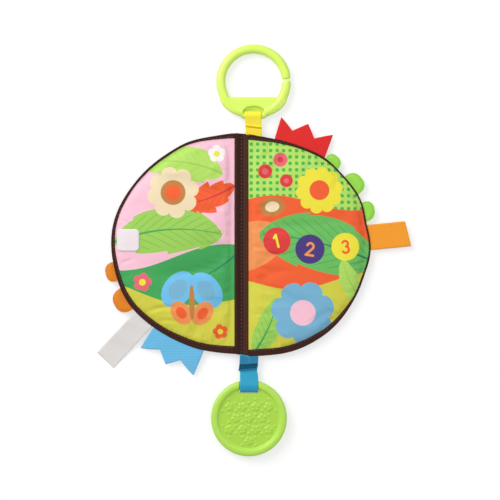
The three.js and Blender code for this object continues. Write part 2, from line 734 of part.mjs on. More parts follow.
function addTeether() {
  const barHeight = teetherThickness / 2;
  const bottom = seamY(-1, teetherX, teetherRibbonWidth);
  const ribbon = ribbonLoop(teetherRibbonLength, teetherRibbonStitched, teetherNeckRadius, teetherRibbonWidth);
  addPiece('teether_ribbon',
    placeRibbon(ribbon, -1, teetherX, bottom, teetherRibbonLength, barHeight), finishes.blueRibbon);

  const [half, web] = [teetherThickness / 2, teetherWeb / 2];
  const rimInner = teetherRadius - teetherRimWidth;
  // The rounded rim: [share of its width, share of its rise over the web]
  const rimShares = [[0, 0], [0.12, 0.7], [0.38, 1], [0.68, 1], [0.9, 0.72], [1, 0.15]];
  const upper = rimShares.map(([across, rise]) => (
    [rimInner + across * teetherRimWidth, web + rise * (half - web)]));
  const profile = [[0, web], ...upper].map(([r, z]) => new THREE.Vector2(r, z));
  const lower = profile.map(({ x, y }) => new THREE.Vector2(x, -y)).reverse();
  const disc = new THREE.LatheGeometry([...profile, ...lower].reverse(), discSteps);
  disc.rotateX(Math.PI / 2);

  const neckY = teetherRadius - teetherNeckInset;
  const slotBottom = neckY - teetherNeckRadius - teetherSlotHeight;
  const slotTop = teetherRadius + cutOverrun;
  const slotDepth = teetherThickness + 2 * cutOverrun;
  const slot = new THREE.BoxGeometry(teetherSlotWidth, slotTop - slotBottom, slotDepth);
  slot.translate(0, (slotTop + slotBottom) / 2, 0);

  let teether = toManifold(disc)
    .subtract(toManifold(slot))
    .add(toManifold(rod(teetherNeckRadius, teetherSlotWidth + 2 * teetherNeckRadius, 0, neckY)));

  // Raised dots on both faces, in three rows of a triangular grid round the middle
  const dotProfile = [
    [0, web + dotRise],
    [dotRadius - dotEase, web + dotRise],
    [dotRadius, web],
  ];
  const dotLine = [...dotProfile, ...dotProfile.map(([r, z]) => [r, -z]).reverse()]
    .map(([r, z]) => new THREE.Vector2(r, z))
    .reverse();
  const rowPitch = dotSpacing * Math.sqrt(3) / 2;
  const rows = Math.floor((rimInner - dotRadius) / rowPitch);
  for (let row = -rows; row <= rows; row += 1) {
    const y = row * rowPitch;
    const offset = Math.abs(row) % 2 === 0 ? 0 : dotSpacing / 2;
    for (let x = -dotSpacing * rows + offset; x <= dotSpacing * rows; x += dotSpacing) {
      const clearOfRim = Math.hypot(x, y) < rimInner - 2 * dotRadius;
      const clearOfSlot = y < slotBottom - 2 * dotRadius;
      if (clearOfRim && clearOfSlot) {
        const dot = new THREE.LatheGeometry(dotLine, dotSides);
        dot.rotateX(Math.PI / 2);
        dot.translate(x, y, 0);
        teether = teether.add(toManifold(dot));
      }
    }
  }
  const run = Math.sqrt(teetherRibbonLength ** 2 - (edgeHeight - barHeight) ** 2);
  const mesh = addPiece('teether_disc', fromManifold(teether), finishes.teetherPlastic);
  mesh.position.set(teetherX, bottom - run - neckY, barHeight);
}

addSpine();
for (const half of Object.values(halves)) {
  addCover(half);
  addPage(half);
}
addCrown('red_crown', halves.right, redCrownAngle, finishes.redFelt);
addCrown('blue_crown', halves.left, blueCrownAngle, finishes.blueFelt);
for (const scallop of scallops) addScallop(scallop);
addLabel();
addStrap();
addLoopPatch();
addHangingRing();
addTeether();

export default book;
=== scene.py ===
import bpy
import bmesh
import math
import numpy as np
from mathutils import Matrix, Vector
from mathutils.geometry import delaunay_2d_cdt
from mathutils.kdtree import KDTree


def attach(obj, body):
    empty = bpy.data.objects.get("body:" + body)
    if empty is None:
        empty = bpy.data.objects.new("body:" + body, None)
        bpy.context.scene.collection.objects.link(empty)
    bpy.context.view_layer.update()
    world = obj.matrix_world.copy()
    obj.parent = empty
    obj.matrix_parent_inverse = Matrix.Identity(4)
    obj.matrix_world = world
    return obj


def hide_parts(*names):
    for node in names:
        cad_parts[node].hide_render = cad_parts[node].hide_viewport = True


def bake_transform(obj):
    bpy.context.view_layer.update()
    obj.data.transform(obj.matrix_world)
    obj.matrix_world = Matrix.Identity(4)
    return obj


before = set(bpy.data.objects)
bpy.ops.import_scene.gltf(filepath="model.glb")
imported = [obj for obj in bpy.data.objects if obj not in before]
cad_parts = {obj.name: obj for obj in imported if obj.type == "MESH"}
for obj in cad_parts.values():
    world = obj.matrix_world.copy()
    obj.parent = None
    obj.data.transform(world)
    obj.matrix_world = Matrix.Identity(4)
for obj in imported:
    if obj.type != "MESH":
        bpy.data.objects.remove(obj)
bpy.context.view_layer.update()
print("frame loaded")

# All sizes below are in millimetres until a mesh is made from them
book = {
    "reach": 110.7,  # spine to fore edge
    "halfHeight": 94.8,
    "edgeHeight": 4.65,  # middle of the cover's bound edge, and the hinge lines
    "innerEdge": 5.9,  # where a half begins beside the spine
    "panelInset": 1.0,
    "pageThickness": 2.6,
    "pageInset": 3.5,
}
# "top" and "foot" flatten a half's outline near the spine. "uneven" says, by degrees from the
# fore edge, how many mm the sewn outline lies outside a true ellipse
halves = {
    "left": {
        "sign": -1,
        "shift": 1.3,
        "top": 1.6,
        "foot": 0.5,
        "uneven": [
            (-82, 0), (-76, 0.3), (-72, 0.8), (-64, 0.6), (-56, 0.9), (-48, 1.3), (-40, 1.9), (-34, 2.5),
            (-28, 2.2), (-22, 1.3), (-16, 0.4), (-10, 0), (8, 0), (16, -0.6), (24, -1.5), (32, -2.1),
            (44, -2), (56, -1.8), (62, -0.8), (68, -0.5), (76, -1.1), (81, -0.8), (85, 0),
        ],
    },
    "right": {
        "sign": 1,
        "shift": -2.1,
        "top": -1.2,
        "foot": 1.8,
        "uneven": [
            (-80, 0), (-72, 1.1), (-62, 1.6), (-48, 1.2), (-40, 0.1), (-32, -1.4), (-24, -2.1), (-16, -2.8),
            (-12, -2.5), (-8, -1.5), (-3, -0.9), (3, -1.3), (9, -2), (13, -2.3), (17, -1.2), (22, 0.4),
            (27, 1.2), (34, 0.9), (40, 1), (44, 1.4), (50, 2.4), (56, 1.8), (62, 0.7), (70, 0.2),
            (76, -0.8), (81, -1.1), (84, -0.4), (86, 0),
        ],
    },
}

# screen colours, by what they dye or print
colours = {
    "brown": (62, 34, 28),
    # painted shade for the valley down the spine strip
    "brownPaintedShade": (52, 28, 24),
    "spineLight": (76, 45, 35),
    "teetherRim": (184, 230, 84),
    # painted shade: the teether's web, sunk inside its rim, is darker than the rim
    "shadedTeetherWeb": (176, 222, 70),
    "thread": (118, 84, 66),
    "pink": (253, 198, 216),
    "lime": (158, 210, 88),
    "paleLime": (182, 226, 100),
    "green": (62, 166, 86),
    "leafGreen": (106, 190, 92),
    "darkGreen": (32, 132, 86),
    "yellow": (216, 212, 70),
    "orange": (246, 96, 44),
    "salmon": (244, 150, 84),
    "dotGreen": (72, 178, 74),
    "skyBlue": (112, 194, 238),
    "softBlue": (120, 182, 214),
    "cream": (246, 226, 186),
    "tan": (196, 130, 62),
    "red": (224, 56, 52),
    "rose": (236, 104, 116),
    "purple": (66, 48, 122),
    "lemon": (246, 232, 60),
    "white": (250, 248, 244),
}


def linear(colour):
    # 0-255 screen colour to the linear one that shaders take
    parts = [c / 255 for c in colour]
    return [p / 12.92 if p < 0.04045 else ((p + 0.055) / 1.055) ** 2.4 for p in parts] + [1]


class Flow:
    # one value in a node tree, so that sums of nodes read like sums
    def __init__(self, tree, socket):
        self.tree = tree
        self.socket = socket

    def do(self, operation, *others, clamp=False):
        node = self.tree.nodes.new("ShaderNodeMath")
        node.operation = operation
        node.use_clamp = clamp
        for socket, value in zip(node.inputs, (self, *others)):
            feed(self.tree, socket, value)
        return Flow(self.tree, node.outputs[0])

    def __add__(self, other):
        return self.do("ADD", other)

    def __sub__(self, other):
        return self.do("SUBTRACT", other)

    def __rsub__(self, other):
        return (self * -1) + other

    def __mul__(self, other):
        return self.do("MULTIPLY", other)

    def __truediv__(self, other):
        return self.do("DIVIDE", other)

    __radd__ = __add__
    __rmul__ = __mul__


def feed(tree, socket, value):
    if isinstance(value, Flow):
        tree.links.new(value.socket, socket)
    else:
        socket.default_value = value


def makeGroup(name, inputs, build):
    tree = bpy.data.node_groups.new(name, "ShaderNodeTree")
    for label, value in inputs.items():
        kind = "NodeSocketVector" if value is None else "NodeSocketFloat"
        socket = tree.interface.new_socket(label, in_out="INPUT", socket_type=kind)
        if value is not None:
            socket.default_value = value
    start = tree.nodes.new("NodeGroupInput")
    results = build(tree, {label: Flow(tree, start.outputs[label]) for label in inputs})
    for label in results:
        tree.interface.new_socket(label, in_out="OUTPUT", socket_type="NodeSocketFloat")
    end = tree.nodes.new("NodeGroupOutput")
    for label, flow in results.items():
        tree.links.new(flow.socket, end.inputs[label])
    return tree


def useGroup(tree, group, values):
    node = tree.nodes.new("ShaderNodeGroup")
    node.node_tree = group
    for label, value in values.items():
        feed(tree, node.inputs[label], value)
    return {socket.name: Flow(tree, socket) for socket in node.outputs}


def mixColour(tree, factor, below, above):
    node = tree.nodes.new("ShaderNodeMix")
    node.data_type = "RGBA"
    feed(tree, node.inputs["Factor"], factor)
    feed(tree, node.inputs["A"], below)
    feed(tree, node.inputs["B"], above)
    return Flow(tree, node.outputs["Result"])


def splitVector(tree, vector):
    node = tree.nodes.new("ShaderNodeSeparateXYZ")
    feed(tree, node.inputs[0], vector)
    return [Flow(tree, socket) for socket in node.outputs]


def noise(tree, vector, scale, detail=2, roughness=0.5):
    node = tree.nodes.new("ShaderNodeTexNoise")
    feed(tree, node.inputs["Vector"], vector)
    feed(tree, node.inputs["Scale"], scale)
    node.inputs["Detail"].default_value = detail
    node.inputs["Roughness"].default_value = roughness
    return Flow(tree, node.outputs[0])


# Surface effects, shared by the materials


def buildWeave(tree, given):
    # crossing threads: the warp shows where the parity is up, the weft elsewhere
    x, y, _ = splitVector(tree, given["Vector"])
    sineX = (x * given["threads"] * math.pi).do("SINE")
    sineY = (y * given["threads"] * math.pi).do("SINE")
    parity = (sineX * sineY * 3).do("ADD", 0.5, clamp=True)
    ridges = sineX.do("ABSOLUTE") * parity + sineY.do("ABSOLUTE") * (1 - parity)
    fine = noise(tree, given["Vector"], given["threads"] * 0.35, 3)
    broad = noise(tree, given["Vector"], 26, 3)
    tint = (broad - 0.5) * given["mottle"] + (ridges - 0.6) * given["mottle"] * 0.5 + 1
    return {"height": ridges * 0.7 + fine * 0.5, "tint": tint}


def buildNap(tree, given):
    # short matted fibres, for felt, tape and loop cloth
    fibres = noise(tree, given["Vector"], given["fibres"], 4, 0.7)
    tufts = noise(tree, given["Vector"], given["fibres"] * 0.14, 3)
    tint = (fibres - 0.5) * given["mottle"] + (tufts - 0.5) * given["mottle"] + 1
    return {"height": fibres * 0.6 + tufts * 0.5, "tint": tint}


def buildRibs(tree, given):
    # fine ribs across a ribbon
    x, y, _ = splitVector(tree, given["Vector"])
    ribs = (y * given["ribs"] * math.tau).do("SINE")
    broken = noise(tree, given["Vector"], given["ribs"] * 0.6, 2)
    fold = noise(tree, given["Vector"], 90, 2)
    tint = (broken - 0.5) * given["mottle"] + (fold - 0.5) * given["mottle"] + ribs * 0.015 + 1
    # painted sheen: light and dark streaks along the ribbon stand in for its satin highlight
    streak = (x * 5200 + fold * 9).do("SINE") * given["streak"]
    return {"height": ribs * 0.35 + broken * 0.4, "tint": tint + streak}


def buildMoulded(tree, given):
    # moulded plastic: a faint orange peel and a slightly clouded colour
    peel = noise(tree, given["Vector"], given["grain"], 2)
    cloud = noise(tree, given["Vector"], 45, 2)
    return {"height": peel, "tint": (cloud - 0.5) * given["mottle"] + 1}


effects = {
    "weave": makeGroup("wovenCloth", {"Vector": None, "threads": 2800, "mottle": 0.06}, buildWeave),
    "nap": makeGroup("nappedCloth", {"Vector": None, "fibres": 2600, "mottle": 0.16}, buildNap),
    "ribs": makeGroup("ribbedTape", {"Vector": None, "ribs": 1600, "mottle": 0.1, "streak": 0}, buildRibs),
    "moulded": makeGroup("mouldedPlastic", {"Vector": None, "grain": 900, "mottle": 0.05}, buildMoulded),
}

# Printed motifs: each takes x and y in millimetres and gives masks

softEdge = 0.35  # millimetres over which a printed edge fades


def fade(distance):
    # 1 inside, 0 outside, from a distance that is positive inside
    return (distance / softEdge).do("ADD", 0.5, clamp=True)


def turned(given):
    # x and y seen from the motif's own centre and angle
    angle = given["angle"].do("RADIANS")
    cosine = angle.do("COSINE")
    sine = angle.do("SINE")
    across = given["x"] - given["centreX"]
    up = given["y"] - given["centreY"]
    return across * cosine + up * sine, up * cosine - across * sine


def hypotenuse(a, b):
    return (a * a + b * b).do("SQRT")


def buildLeaf(tree, given):
    along, across = turned(given)
    share = along / given["length"]
    bow = share * (1 - share) * given["bend"] * given["length"]
    side = across - bow
    offset = side.do("ABSOLUTE")
    full = (share * (1 - share) * 4).do("MAXIMUM", 0).do("POWER", 0.62)
    teeth = (share * given["notches"] + 0.35).do("FRACT")
    width = given["width"] * full * (1 - teeth * given["cut"])
    body = fade(width - offset - softEdge / 2)
    rib = fade((1 - share) * 0.9 + 0.15 - offset)
    comb = (share * 9 - offset * 0.16).do("FRACT").do("SUBTRACT", 0.5).do("ABSOLUTE")
    veins = fade(0.035 * given["length"] * (0.07 - comb)) * fade(width * 0.8 - offset)
    return {"body": body, "detail": body * rib.do("MAXIMUM", veins * 0.45)}


def buildHill(tree, given):
    swell = (given["x"] / given["wave"] + given["phase"]).do("SINE") * given["swell"]
    top = given["height"] + given["x"] * given["slope"] + swell
    body = fade(top - given["y"])
    return {"body": body, "detail": body * fade(given["y"] - top + given["rim"])}


def buildFlower(tree, given):
    along, across = turned(given)
    radius = hypotenuse(along, across)
    turn = across.do("ARCTAN2", along)
    lobes = (turn * given["petals"] * 0.5).do("COSINE").do("ABSOLUTE").do("POWER", 0.5)
    edge = given["radius"] * (1 - given["depth"] + given["depth"] * lobes)
    return {"body": fade(edge - radius), "detail": fade(given["radius"] * given["heart"] - radius)}


def buildOval(tree, given):
    along, across = turned(given)
    reach = hypotenuse(along / given["width"], across / given["height"])
    size = given["width"].do("MINIMUM", given["height"])
    return {"body": fade((1 - reach) * size), "detail": fade((given["inner"] - reach) * size)}


def buildDots(tree, given):
    along, across = turned(given)
    cellA = (along / given["pitch"]).do("FRACT") - 0.5
    cellB = (across / given["pitch"]).do("FRACT") - 0.5
    round_ = hypotenuse(cellA, cellB)
    square = cellA.do("ABSOLUTE").do("MAXIMUM", cellB.do("ABSOLUTE"))
    dot = fade(given["radius"] - (square * 0.6 + round_ * 0.4) * given["pitch"])
    body = dot * fade(given["y"] - given["from"] - given["x"] * given["slope"])
    return {"body": body, "detail": body * 0}


def strokeDistance(x, y, start, end):
    run = (end[0] - start[0], end[1] - start[1])
    size = run[0] ** 2 + run[1] ** 2
    share = (x - start[0]) * (run[0] / size) + (y - start[1]) * (run[1] / size)
    share = share.do("ADD", 0, clamp=True)
    return hypotenuse(x - start[0] - share * run[0], y - start[1] - share * run[1])


def arcDistance(x, y, centre, radius, first, last):
    middle = math.radians((first + last) / 2)
    half = math.radians((last - first) / 2)
    across, up = x - centre[0], y - centre[1]
    along = across * math.cos(middle) + up * math.sin(middle)
    side = (up * math.cos(middle) - across * math.sin(middle)).do("ABSOLUTE")
    onArc = side.do("ARCTAN2", along).do("LESS_THAN", half)
    ring = (hypotenuse(along, side) - radius).do("ABSOLUTE")
    tip = hypotenuse(along - radius * math.cos(half), side - radius * math.sin(half))
    return ring * onArc + tip * (1 - onArc)


# each figure's strokes (start, end) and arcs (centre, radius, first and last degree)
figures = {
    "one": [("stroke", (-0.3, 0.5), (0.02, 0.85)), ("stroke", (0.02, 0.85), (0.02, -0.85))],
    "two": [
        ("arc", (0, 0.4), 0.45, -38, 165),
        ("stroke", (0.355, 0.12), (-0.5, -0.85)),
        ("stroke", (-0.5, -0.85), (0.55, -0.85)),
    ],
    "three": [("arc", (0, 0.42), 0.4, -75, 150), ("arc", (0, -0.4), 0.45, -150, 78)],
}


def buildFigure(strokes):
    def build(tree, given):
        along, across = turned(given)
        x, y = along / given["size"], across / given["size"]
        nearest = None
        for kind, *values in strokes:
            distance = (strokeDistance if kind == "stroke" else arcDistance)(x, y, *values)
            nearest = distance if nearest is None else nearest.do("MINIMUM", distance)
        return {"body": fade((given["weight"] - nearest) * given["size"])}

    return build


spot = {"x": 0, "y": 0, "centreX": 0, "centreY": 0, "angle": 0}
figure = {**spot, "size": 6, "weight": 0.17}
motifInputs = {
    "leaf": {**spot, "length": 50, "width": 14, "bend": 0.2, "notches": 4, "cut": 0.2},
    "hill": {"x": 0, "y": 0, "height": 0, "slope": 0, "swell": 5, "wave": 20, "phase": 0, "rim": 0},
    "flower": {**spot, "radius": 14, "petals": 6, "depth": 0.35, "heart": 0.35},
    "oval": {**spot, "width": 10, "height": 10, "inner": 0},
    "dots": {**spot, "pitch": 5.7, "radius": 1.7, "from": 0, "slope": 0},
    "one": figure,
    "two": figure,
    "three": figure,
}
builders = {"leaf": buildLeaf, "hill": buildHill, "flower": buildFlower, "oval": buildOval}
builders.update({"dots": buildDots, **{name: buildFigure(strokes) for name, strokes in figures.items()}})
motifs = {}
for kind, build in builders.items():
    motifs[kind] = makeGroup("printed" + kind.capitalize(), motifInputs[kind], build)



def printColour(tree, ground, layers):
    # a ground colour under layers of (motif, body colour, detail colour, values)
    place = tree.nodes.new("ShaderNodeTexCoord")
    x, y, _ = splitVector(tree, Flow(tree, place.outputs["Object"]))
    x, y = x * 1000, y * 1000
    colour = linear(colours[ground])
    for kind, body, detail, values in layers:
        masks = useGroup(tree, motifs[kind], {"x": x, "y": y, **values})
        colour = mixColour(tree, masks["body"], colour, linear(colours[body]))
        if detail:
            colour = mixColour(tree, masks["detail"], colour, linear(colours[detail]))
    return colour


def makeMaterial(name, colour, effect, values, shader, coords="Object", bump=0.4, depth=0.0002, layers=None):
    # "values" go to the effect's group, "shader" to the Principled BSDF's own sockets
    material = bpy.data.materials.new(name)
    material.use_nodes = True
    tree = material.node_tree
    principled = tree.nodes["Principled BSDF"]
    place = tree.nodes.new("ShaderNodeTexCoord")
    surface = useGroup(tree, effects[effect], {"Vector": Flow(tree, place.outputs[coords]), **values})
    base = printColour(tree, colour, layers) if layers else linear(colours.get(colour, colour))
    toned = tree.nodes.new("ShaderNodeVectorMath")
    toned.operation = "SCALE"
    feed(tree, toned.inputs[0], base if isinstance(base, Flow) else base[:3])
    feed(tree, toned.inputs["Scale"], surface["tint"])
    tree.links.new(toned.outputs[0], principled.inputs["Base Color"])
    lump = tree.nodes.new("ShaderNodeBump")
    lump.inputs["Strength"].default_value = bump
    lump.inputs["Distance"].default_value = depth
    tree.links.new(surface["height"].socket, lump.inputs["Height"])
    tree.links.new(lump.outputs[0], principled.inputs["Normal"])
    for label, value in shader.items():
        principled.inputs[label].default_value = value
    return material


def at(x, y, **values):
    # a motif's values with its place
    return {"centreX": x, "centreY": y, **values}


leftPrint = [
    ("hill", "green", None, {"height": -8, "slope": 0.05, "swell": 9, "wave": 26, "phase": 2.2}),
    ("leaf", "paleLime", "lime",
     at(-16, 60, angle=172, length=68, width=17, bend=-0.3, notches=3.2, cut=0.2)),
    ("leaf", "orange", "red", at(-6, 50, angle=196, length=62, width=15, bend=0.3, notches=5, cut=0.34)),
    ("leaf", "lime", "green",
     at(-108, 2, angle=4, length=92, width=21, bend=0.32, notches=3.4, cut=0.14)),
    ("leaf", "green", "darkGreen",
     at(-4, -8, angle=205, length=74, width=17, bend=0.3, notches=4.3, cut=0.2)),
    ("hill", "yellow", None, {"height": -50, "slope": -0.12, "swell": 7, "wave": 24, "phase": 0.6}),
    ("flower", "cream", "tan", at(-58, 44, angle=12, radius=22, petals=8, depth=0.24, heart=0.46)),
    ("oval", "tan", "orange", at(-58, 44, width=10.5, height=10.5, inner=0.62)),
    ("flower", "white", "lemon", at(-21, 77, angle=20, radius=7.5, petals=5, depth=0.34, heart=0.34)),
    ("oval", "skyBlue", "softBlue", at(-54, -38, angle=52, width=17, height=12, inner=0.55)),
    ("oval", "skyBlue", "softBlue", at(-30, -39, angle=128, width=17, height=12, inner=0.55)),
    ("oval", "salmon", "orange", at(-51, -58, angle=128, width=11, height=8, inner=0.5)),
    ("oval", "salmon", "orange", at(-33, -58.5, angle=52, width=11, height=8, inner=0.5)),
    ("oval", "tan", None, at(-42, -49, angle=91, width=15, height=2.3)),
    ("flower", "rose", "lemon", at(-84, -32, angle=5, radius=8, petals=5, depth=0.34, heart=0.36)),
    ("flower", "orange", "lemon", at(-18, -74, angle=30, radius=6.5, petals=5, depth=0.34, heart=0.36)),
]
rightPrint = [
    ("dots", "dotGreen", None, {"angle": 0, "pitch": 5.5, "radius": 1.45, "from": 8}),
    ("hill", "orange", None, {"height": 34, "slope": 0.02, "swell": 7, "wave": 22, "phase": 0.4}),
    ("oval", "salmon", None, at(4, -2, angle=20, width=34, height=20)),
    ("leaf", "leafGreen", "darkGreen",
     at(116, -16, angle=166, length=104, width=25, bend=-0.18, notches=2.6, cut=0.1)),
    ("hill", "yellow", None, {"height": -34, "slope": 0.04, "swell": 6, "wave": 20, "phase": 2.4}),
    ("leaf", "lime", "green", at(10, -93, angle=66, length=52, width=11, bend=-0.2, notches=3, cut=0.1)),
    ("leaf", "paleLime", "lime",
     at(106, -52, angle=118, length=44, width=9, bend=0.25, notches=3, cut=0.12)),
    ("leaf", "orange", "red", at(88, -66, angle=28, length=30, width=7, bend=0.2, notches=4, cut=0.25)),
    ("flower", "softBlue", "pink", at(52, -58, angle=16, radius=27, petals=7, depth=0.22, heart=0.4)),
    ("flower", "lemon", "orange", at(66, 46, angle=8, radius=20, petals=10, depth=0.2, heart=0.42)),
    ("oval", "red", "rose", at(20, 62, width=6, height=6, inner=0.45)),
    ("oval", "rose", "red", at(33, 72, width=6, height=6, inner=0.4)),
    ("oval", "red", "rose", at(38, 54, width=5.5, height=5.5, inner=0.4)),
    ("oval", "tan", "cream", at(26, 32, angle=8, width=11, height=8, inner=0.55)),
    ("oval", "red", None, at(30, 3, width=11.6, height=11.6)),
    ("oval", "purple", None, at(58, -4, width=12.4, height=12.4)),
    ("oval", "lemon", None, at(88, -2, width=11.8, height=11.8)),
    ("one", "lemon", None, at(30, 3, angle=14)),
    ("two", "salmon", None, at(58, -4, angle=-8)),
    ("three", "orange", None, at(88, -2, angle=6)),
]
pagePrint = [
    ("hill", "lime", None, {"height": -30, "slope": 0.03, "swell": 8, "wave": 22, "phase": 1}),
    ("flower", "white", "lemon", at(48, 24, radius=17, petals=6, depth=0.3, heart=0.36)),
    ("flower", "white", "lemon", at(-48, 24, radius=17, petals=6, depth=0.3, heart=0.36)),
]
backPrint = [
    ("dots", "white", None, {"angle": 30, "pitch": 14, "radius": 3.2, "from": -200}),
    ("hill", "leafGreen", None, {"height": -44, "slope": -0.02, "swell": 6, "wave": 18, "phase": 0}),
]

# painted shade: a darker tone where the strip dips, and a darker tone in the teether's web, which lies sunk
# inside its rim
spinePaintedShade = [("oval", "brownPaintedShade", None, at(-1.5, 0, width=2.9, height=400))]
teetherPaintedShade = [("oval", "shadedTeetherWeb", None, at(6.3, -147.6, width=25.4, height=25.4))]

satin = {"threads": 2600, "mottle": 0.05}
printed = {"Roughness": 0.52, "Specular IOR Level": 0.3, "Sheen Weight": 0.04}
finishes = {
    "leftPrint": {
        "colour": "pink", "effect": "weave", "values": satin, "layers": leftPrint,
        "shader": printed,
    },
    "rightPrint": {
        "colour": "paleLime", "effect": "weave", "values": satin, "layers": rightPrint,
        "shader": printed,
    },
    "pagePrint": {
        "colour": "pink", "effect": "weave", "values": satin,
        "layers": pagePrint, "shader": {"Roughness": 0.6, "Sheen Weight": 0.1},
    },
    "pageBack": {
        "colour": "skyBlue", "effect": "weave", "values": satin,
        "layers": backPrint, "shader": {"Roughness": 0.6, "Sheen Weight": 0.1},
    },
    "lining": {
        "colour": (236, 226, 176), "effect": "weave",
        "values": {"threads": 2000, "mottle": 0.08}, "shader": {"Roughness": 0.75},
    },
    "brown": {
        "colour": "brown", "effect": "nap",
        "values": {"fibres": 2600, "mottle": 0.3}, "bump": 0.5,
        "shader": {"Roughness": 0.9, "Specular IOR Level": 0.15, "Sheen Weight": 0.02},
    },
    "spineBrown": {
        "colour": "spineLight", "effect": "nap",
        "values": {"fibres": 2600, "mottle": 0.3}, "layers": spinePaintedShade, "bump": 0.5,
        "shader": {"Roughness": 0.9, "Specular IOR Level": 0.15},
    },
    "thread": {
        "colour": "thread", "effect": "nap",
        "values": {"fibres": 4000, "mottle": 0.2}, "shader": {"Roughness": 0.6},
    },
    "wadding": {
        "colour": (246, 244, 240), "effect": "nap",
        "values": {"fibres": 700, "mottle": 0.08}, "bump": 0.7, "depth": 0.0006,
        "shader": {"Roughness": 0.95},
    },
    "film": {
        "colour": (222, 226, 232), "effect": "moulded",
        "values": {"grain": 160, "mottle": 0.08}, "bump": 0.6, "depth": 0.0006,
        "shader": {"Roughness": 0.18, "Alpha": 0.75},
    },
    "yellowRibbon": {
        "colour": (255, 240, 62), "effect": "ribs", "values": {},
        "coords": "UV", "shader": {"Roughness": 0.4, "Specular IOR Level": 0.35},
    },
    "blueRibbon": {
        "colour": (34, 160, 198), "effect": "ribs",
        "values": {"streak": 0.05}, "coords": "UV",
        "shader": {"Roughness": 0.38, "Specular IOR Level": 0.35},
    },
    # painted shade: the hem's upper ply, and the stitches in it, take a darker copy of the blue ribbon's
    # colour
    "shadedBlueHem": {
        "colour": (16, 120, 162), "effect": "ribs",
        "values": {"streak": 0.12}, "coords": "UV",
        "shader": {"Roughness": 0.32, "Specular IOR Level": 0.4},
    },
    # painted shade: a darker copy of the blue ribbon for the hollow of its pleat
    "blueRibbonPaintedShade": {
        "colour": (2, 80, 106), "effect": "ribs",
        "values": {"streak": 0.12}, "coords": "UV",
        "shader": {"Roughness": 0.5, "Specular IOR Level": 0.15},
    },
    "orangeStrap": {
        "colour": (252, 162, 42), "effect": "weave",
        "values": {"threads": 1700, "mottle": 0.05}, "coords": "UV", "bump": 0.5,
        "shader": {"Roughness": 0.6, "Specular IOR Level": 0.25},
    },
    # painted shade: the hem's upper ply, and the stitches in it, take a slightly darker copy of the yellow
    # ribbon's colour
    "shadedYellowHem": {
        "colour": (254, 230, 54), "effect": "ribs", "values": {},
        "coords": "UV", "shader": {"Roughness": 0.4, "Specular IOR Level": 0.35},
    },
    # painted shade: a darker copy of the yellow ribbon for the hollow of its pleat
    "yellowRibbonPaintedShade": {
        "colour": (206, 162, 14), "effect": "ribs", "values": {},
        "coords": "UV", "shader": {"Roughness": 0.5, "Specular IOR Level": 0.3},
    },
    "greenThread": {
        "colour": (122, 196, 66), "effect": "nap",
        "values": {"fibres": 4000, "mottle": 0.16}, "shader": {"Roughness": 0.55},
    },
    "whiteThread": {
        "colour": (246, 240, 242), "effect": "nap",
        "values": {"fibres": 4000, "mottle": 0.06}, "shader": {"Roughness": 0.6},
    },
    "orangeThread": {
        "colour": (244, 146, 34), "effect": "nap",
        "values": {"fibres": 4000, "mottle": 0.16}, "shader": {"Roughness": 0.55},
    },
    "redFelt": {
        "colour": (224, 44, 42), "effect": "nap",
        "values": {"fibres": 2200, "mottle": 0.14}, "bump": 0.5,
        "shader": {"Roughness": 0.85, "Specular IOR Level": 0.25, "Sheen Weight": 0.03},
    },
    "blueFelt": {
        "colour": (110, 192, 234), "effect": "ribs",
        "values": {"ribs": 430, "mottle": 0.07}, "bump": 0.35, "depth": 0.0004,
        "shader": {"Roughness": 0.8, "Specular IOR Level": 0.25},
    },
    "greenSatin": {
        "colour": (154, 222, 76), "effect": "weave", "values": satin,
        "shader": {"Roughness": 0.5, "Specular IOR Level": 0.3},
    },
    "orangeSatin": {
        "colour": (228, 132, 26), "effect": "weave", "values": satin,
        "shader": {"Roughness": 0.5, "Specular IOR Level": 0.3},
    },
    "label": {
        "colour": (226, 222, 219), "effect": "weave",
        "values": {"threads": 3400, "mottle": 0.04}, "coords": "UV", "shader": {"Roughness": 0.42},
    },
    "loops": {
        "colour": (240, 228, 232), "effect": "nap",
        "values": {"fibres": 3000, "mottle": 0.08},
        "shader": {"Roughness": 0.8, "Sheen Weight": 0.2},
    },
    "hooks": {
        "colour": (240, 170, 74), "effect": "nap",
        "values": {"fibres": 3000, "mottle": 0.1}, "shader": {"Roughness": 0.5},
    },
    "limePlastic": {
        "colour": (222, 254, 104), "effect": "moulded", "values": {},
        "bump": 0.08,
        "shader": {"Roughness": 0.3, "Subsurface Weight": 0.35, "Subsurface Scale": 0.003,
                   "Subsurface Radius": (1, 1, 0.5), "Coat Weight": 0.15},
    },
    "teetherPlastic": {
        "colour": "teetherRim", "effect": "moulded", "values": {},
        # its layer paints shade into the sunk web
        "layers": teetherPaintedShade, "bump": 0.08,
        "shader": {"Roughness": 0.34, "Subsurface Weight": 0.2,
                   "Subsurface Scale": 0.002, "Subsurface Radius": (1, 1, 0.5)},
    },
}
materials = {name: makeMaterial(name, **finish) for name, finish in finishes.items()}
print("materials made")


def addObject(name, data):
    piece = bpy.data.objects.new(name, data)
    bpy.context.scene.collection.objects.link(piece)
    return piece


def rawMesh(name, points, faces, edges=()):
    mesh = bpy.data.meshes.new(name)
    mesh.from_pydata((np.asarray(points, float) * 0.001).tolist(), edges, faces)
    return addObject(name, mesh)


def makeObject(name, points, faces, material, uvs=None):
    piece = rawMesh(name, points, faces)
    mesh = piece.data
    mesh.materials.append(materials[material])
    if uvs is not None:
        layer = mesh.uv_layers.new(name="cloth")
        order = np.empty(len(mesh.loops), np.int32)
        mesh.loops.foreach_get("vertex_index", order)
        layer.data.foreach_set("uv", (np.asarray(uvs, float)[order] * 0.001).ravel())
    mesh.shade_smooth()
    return piece


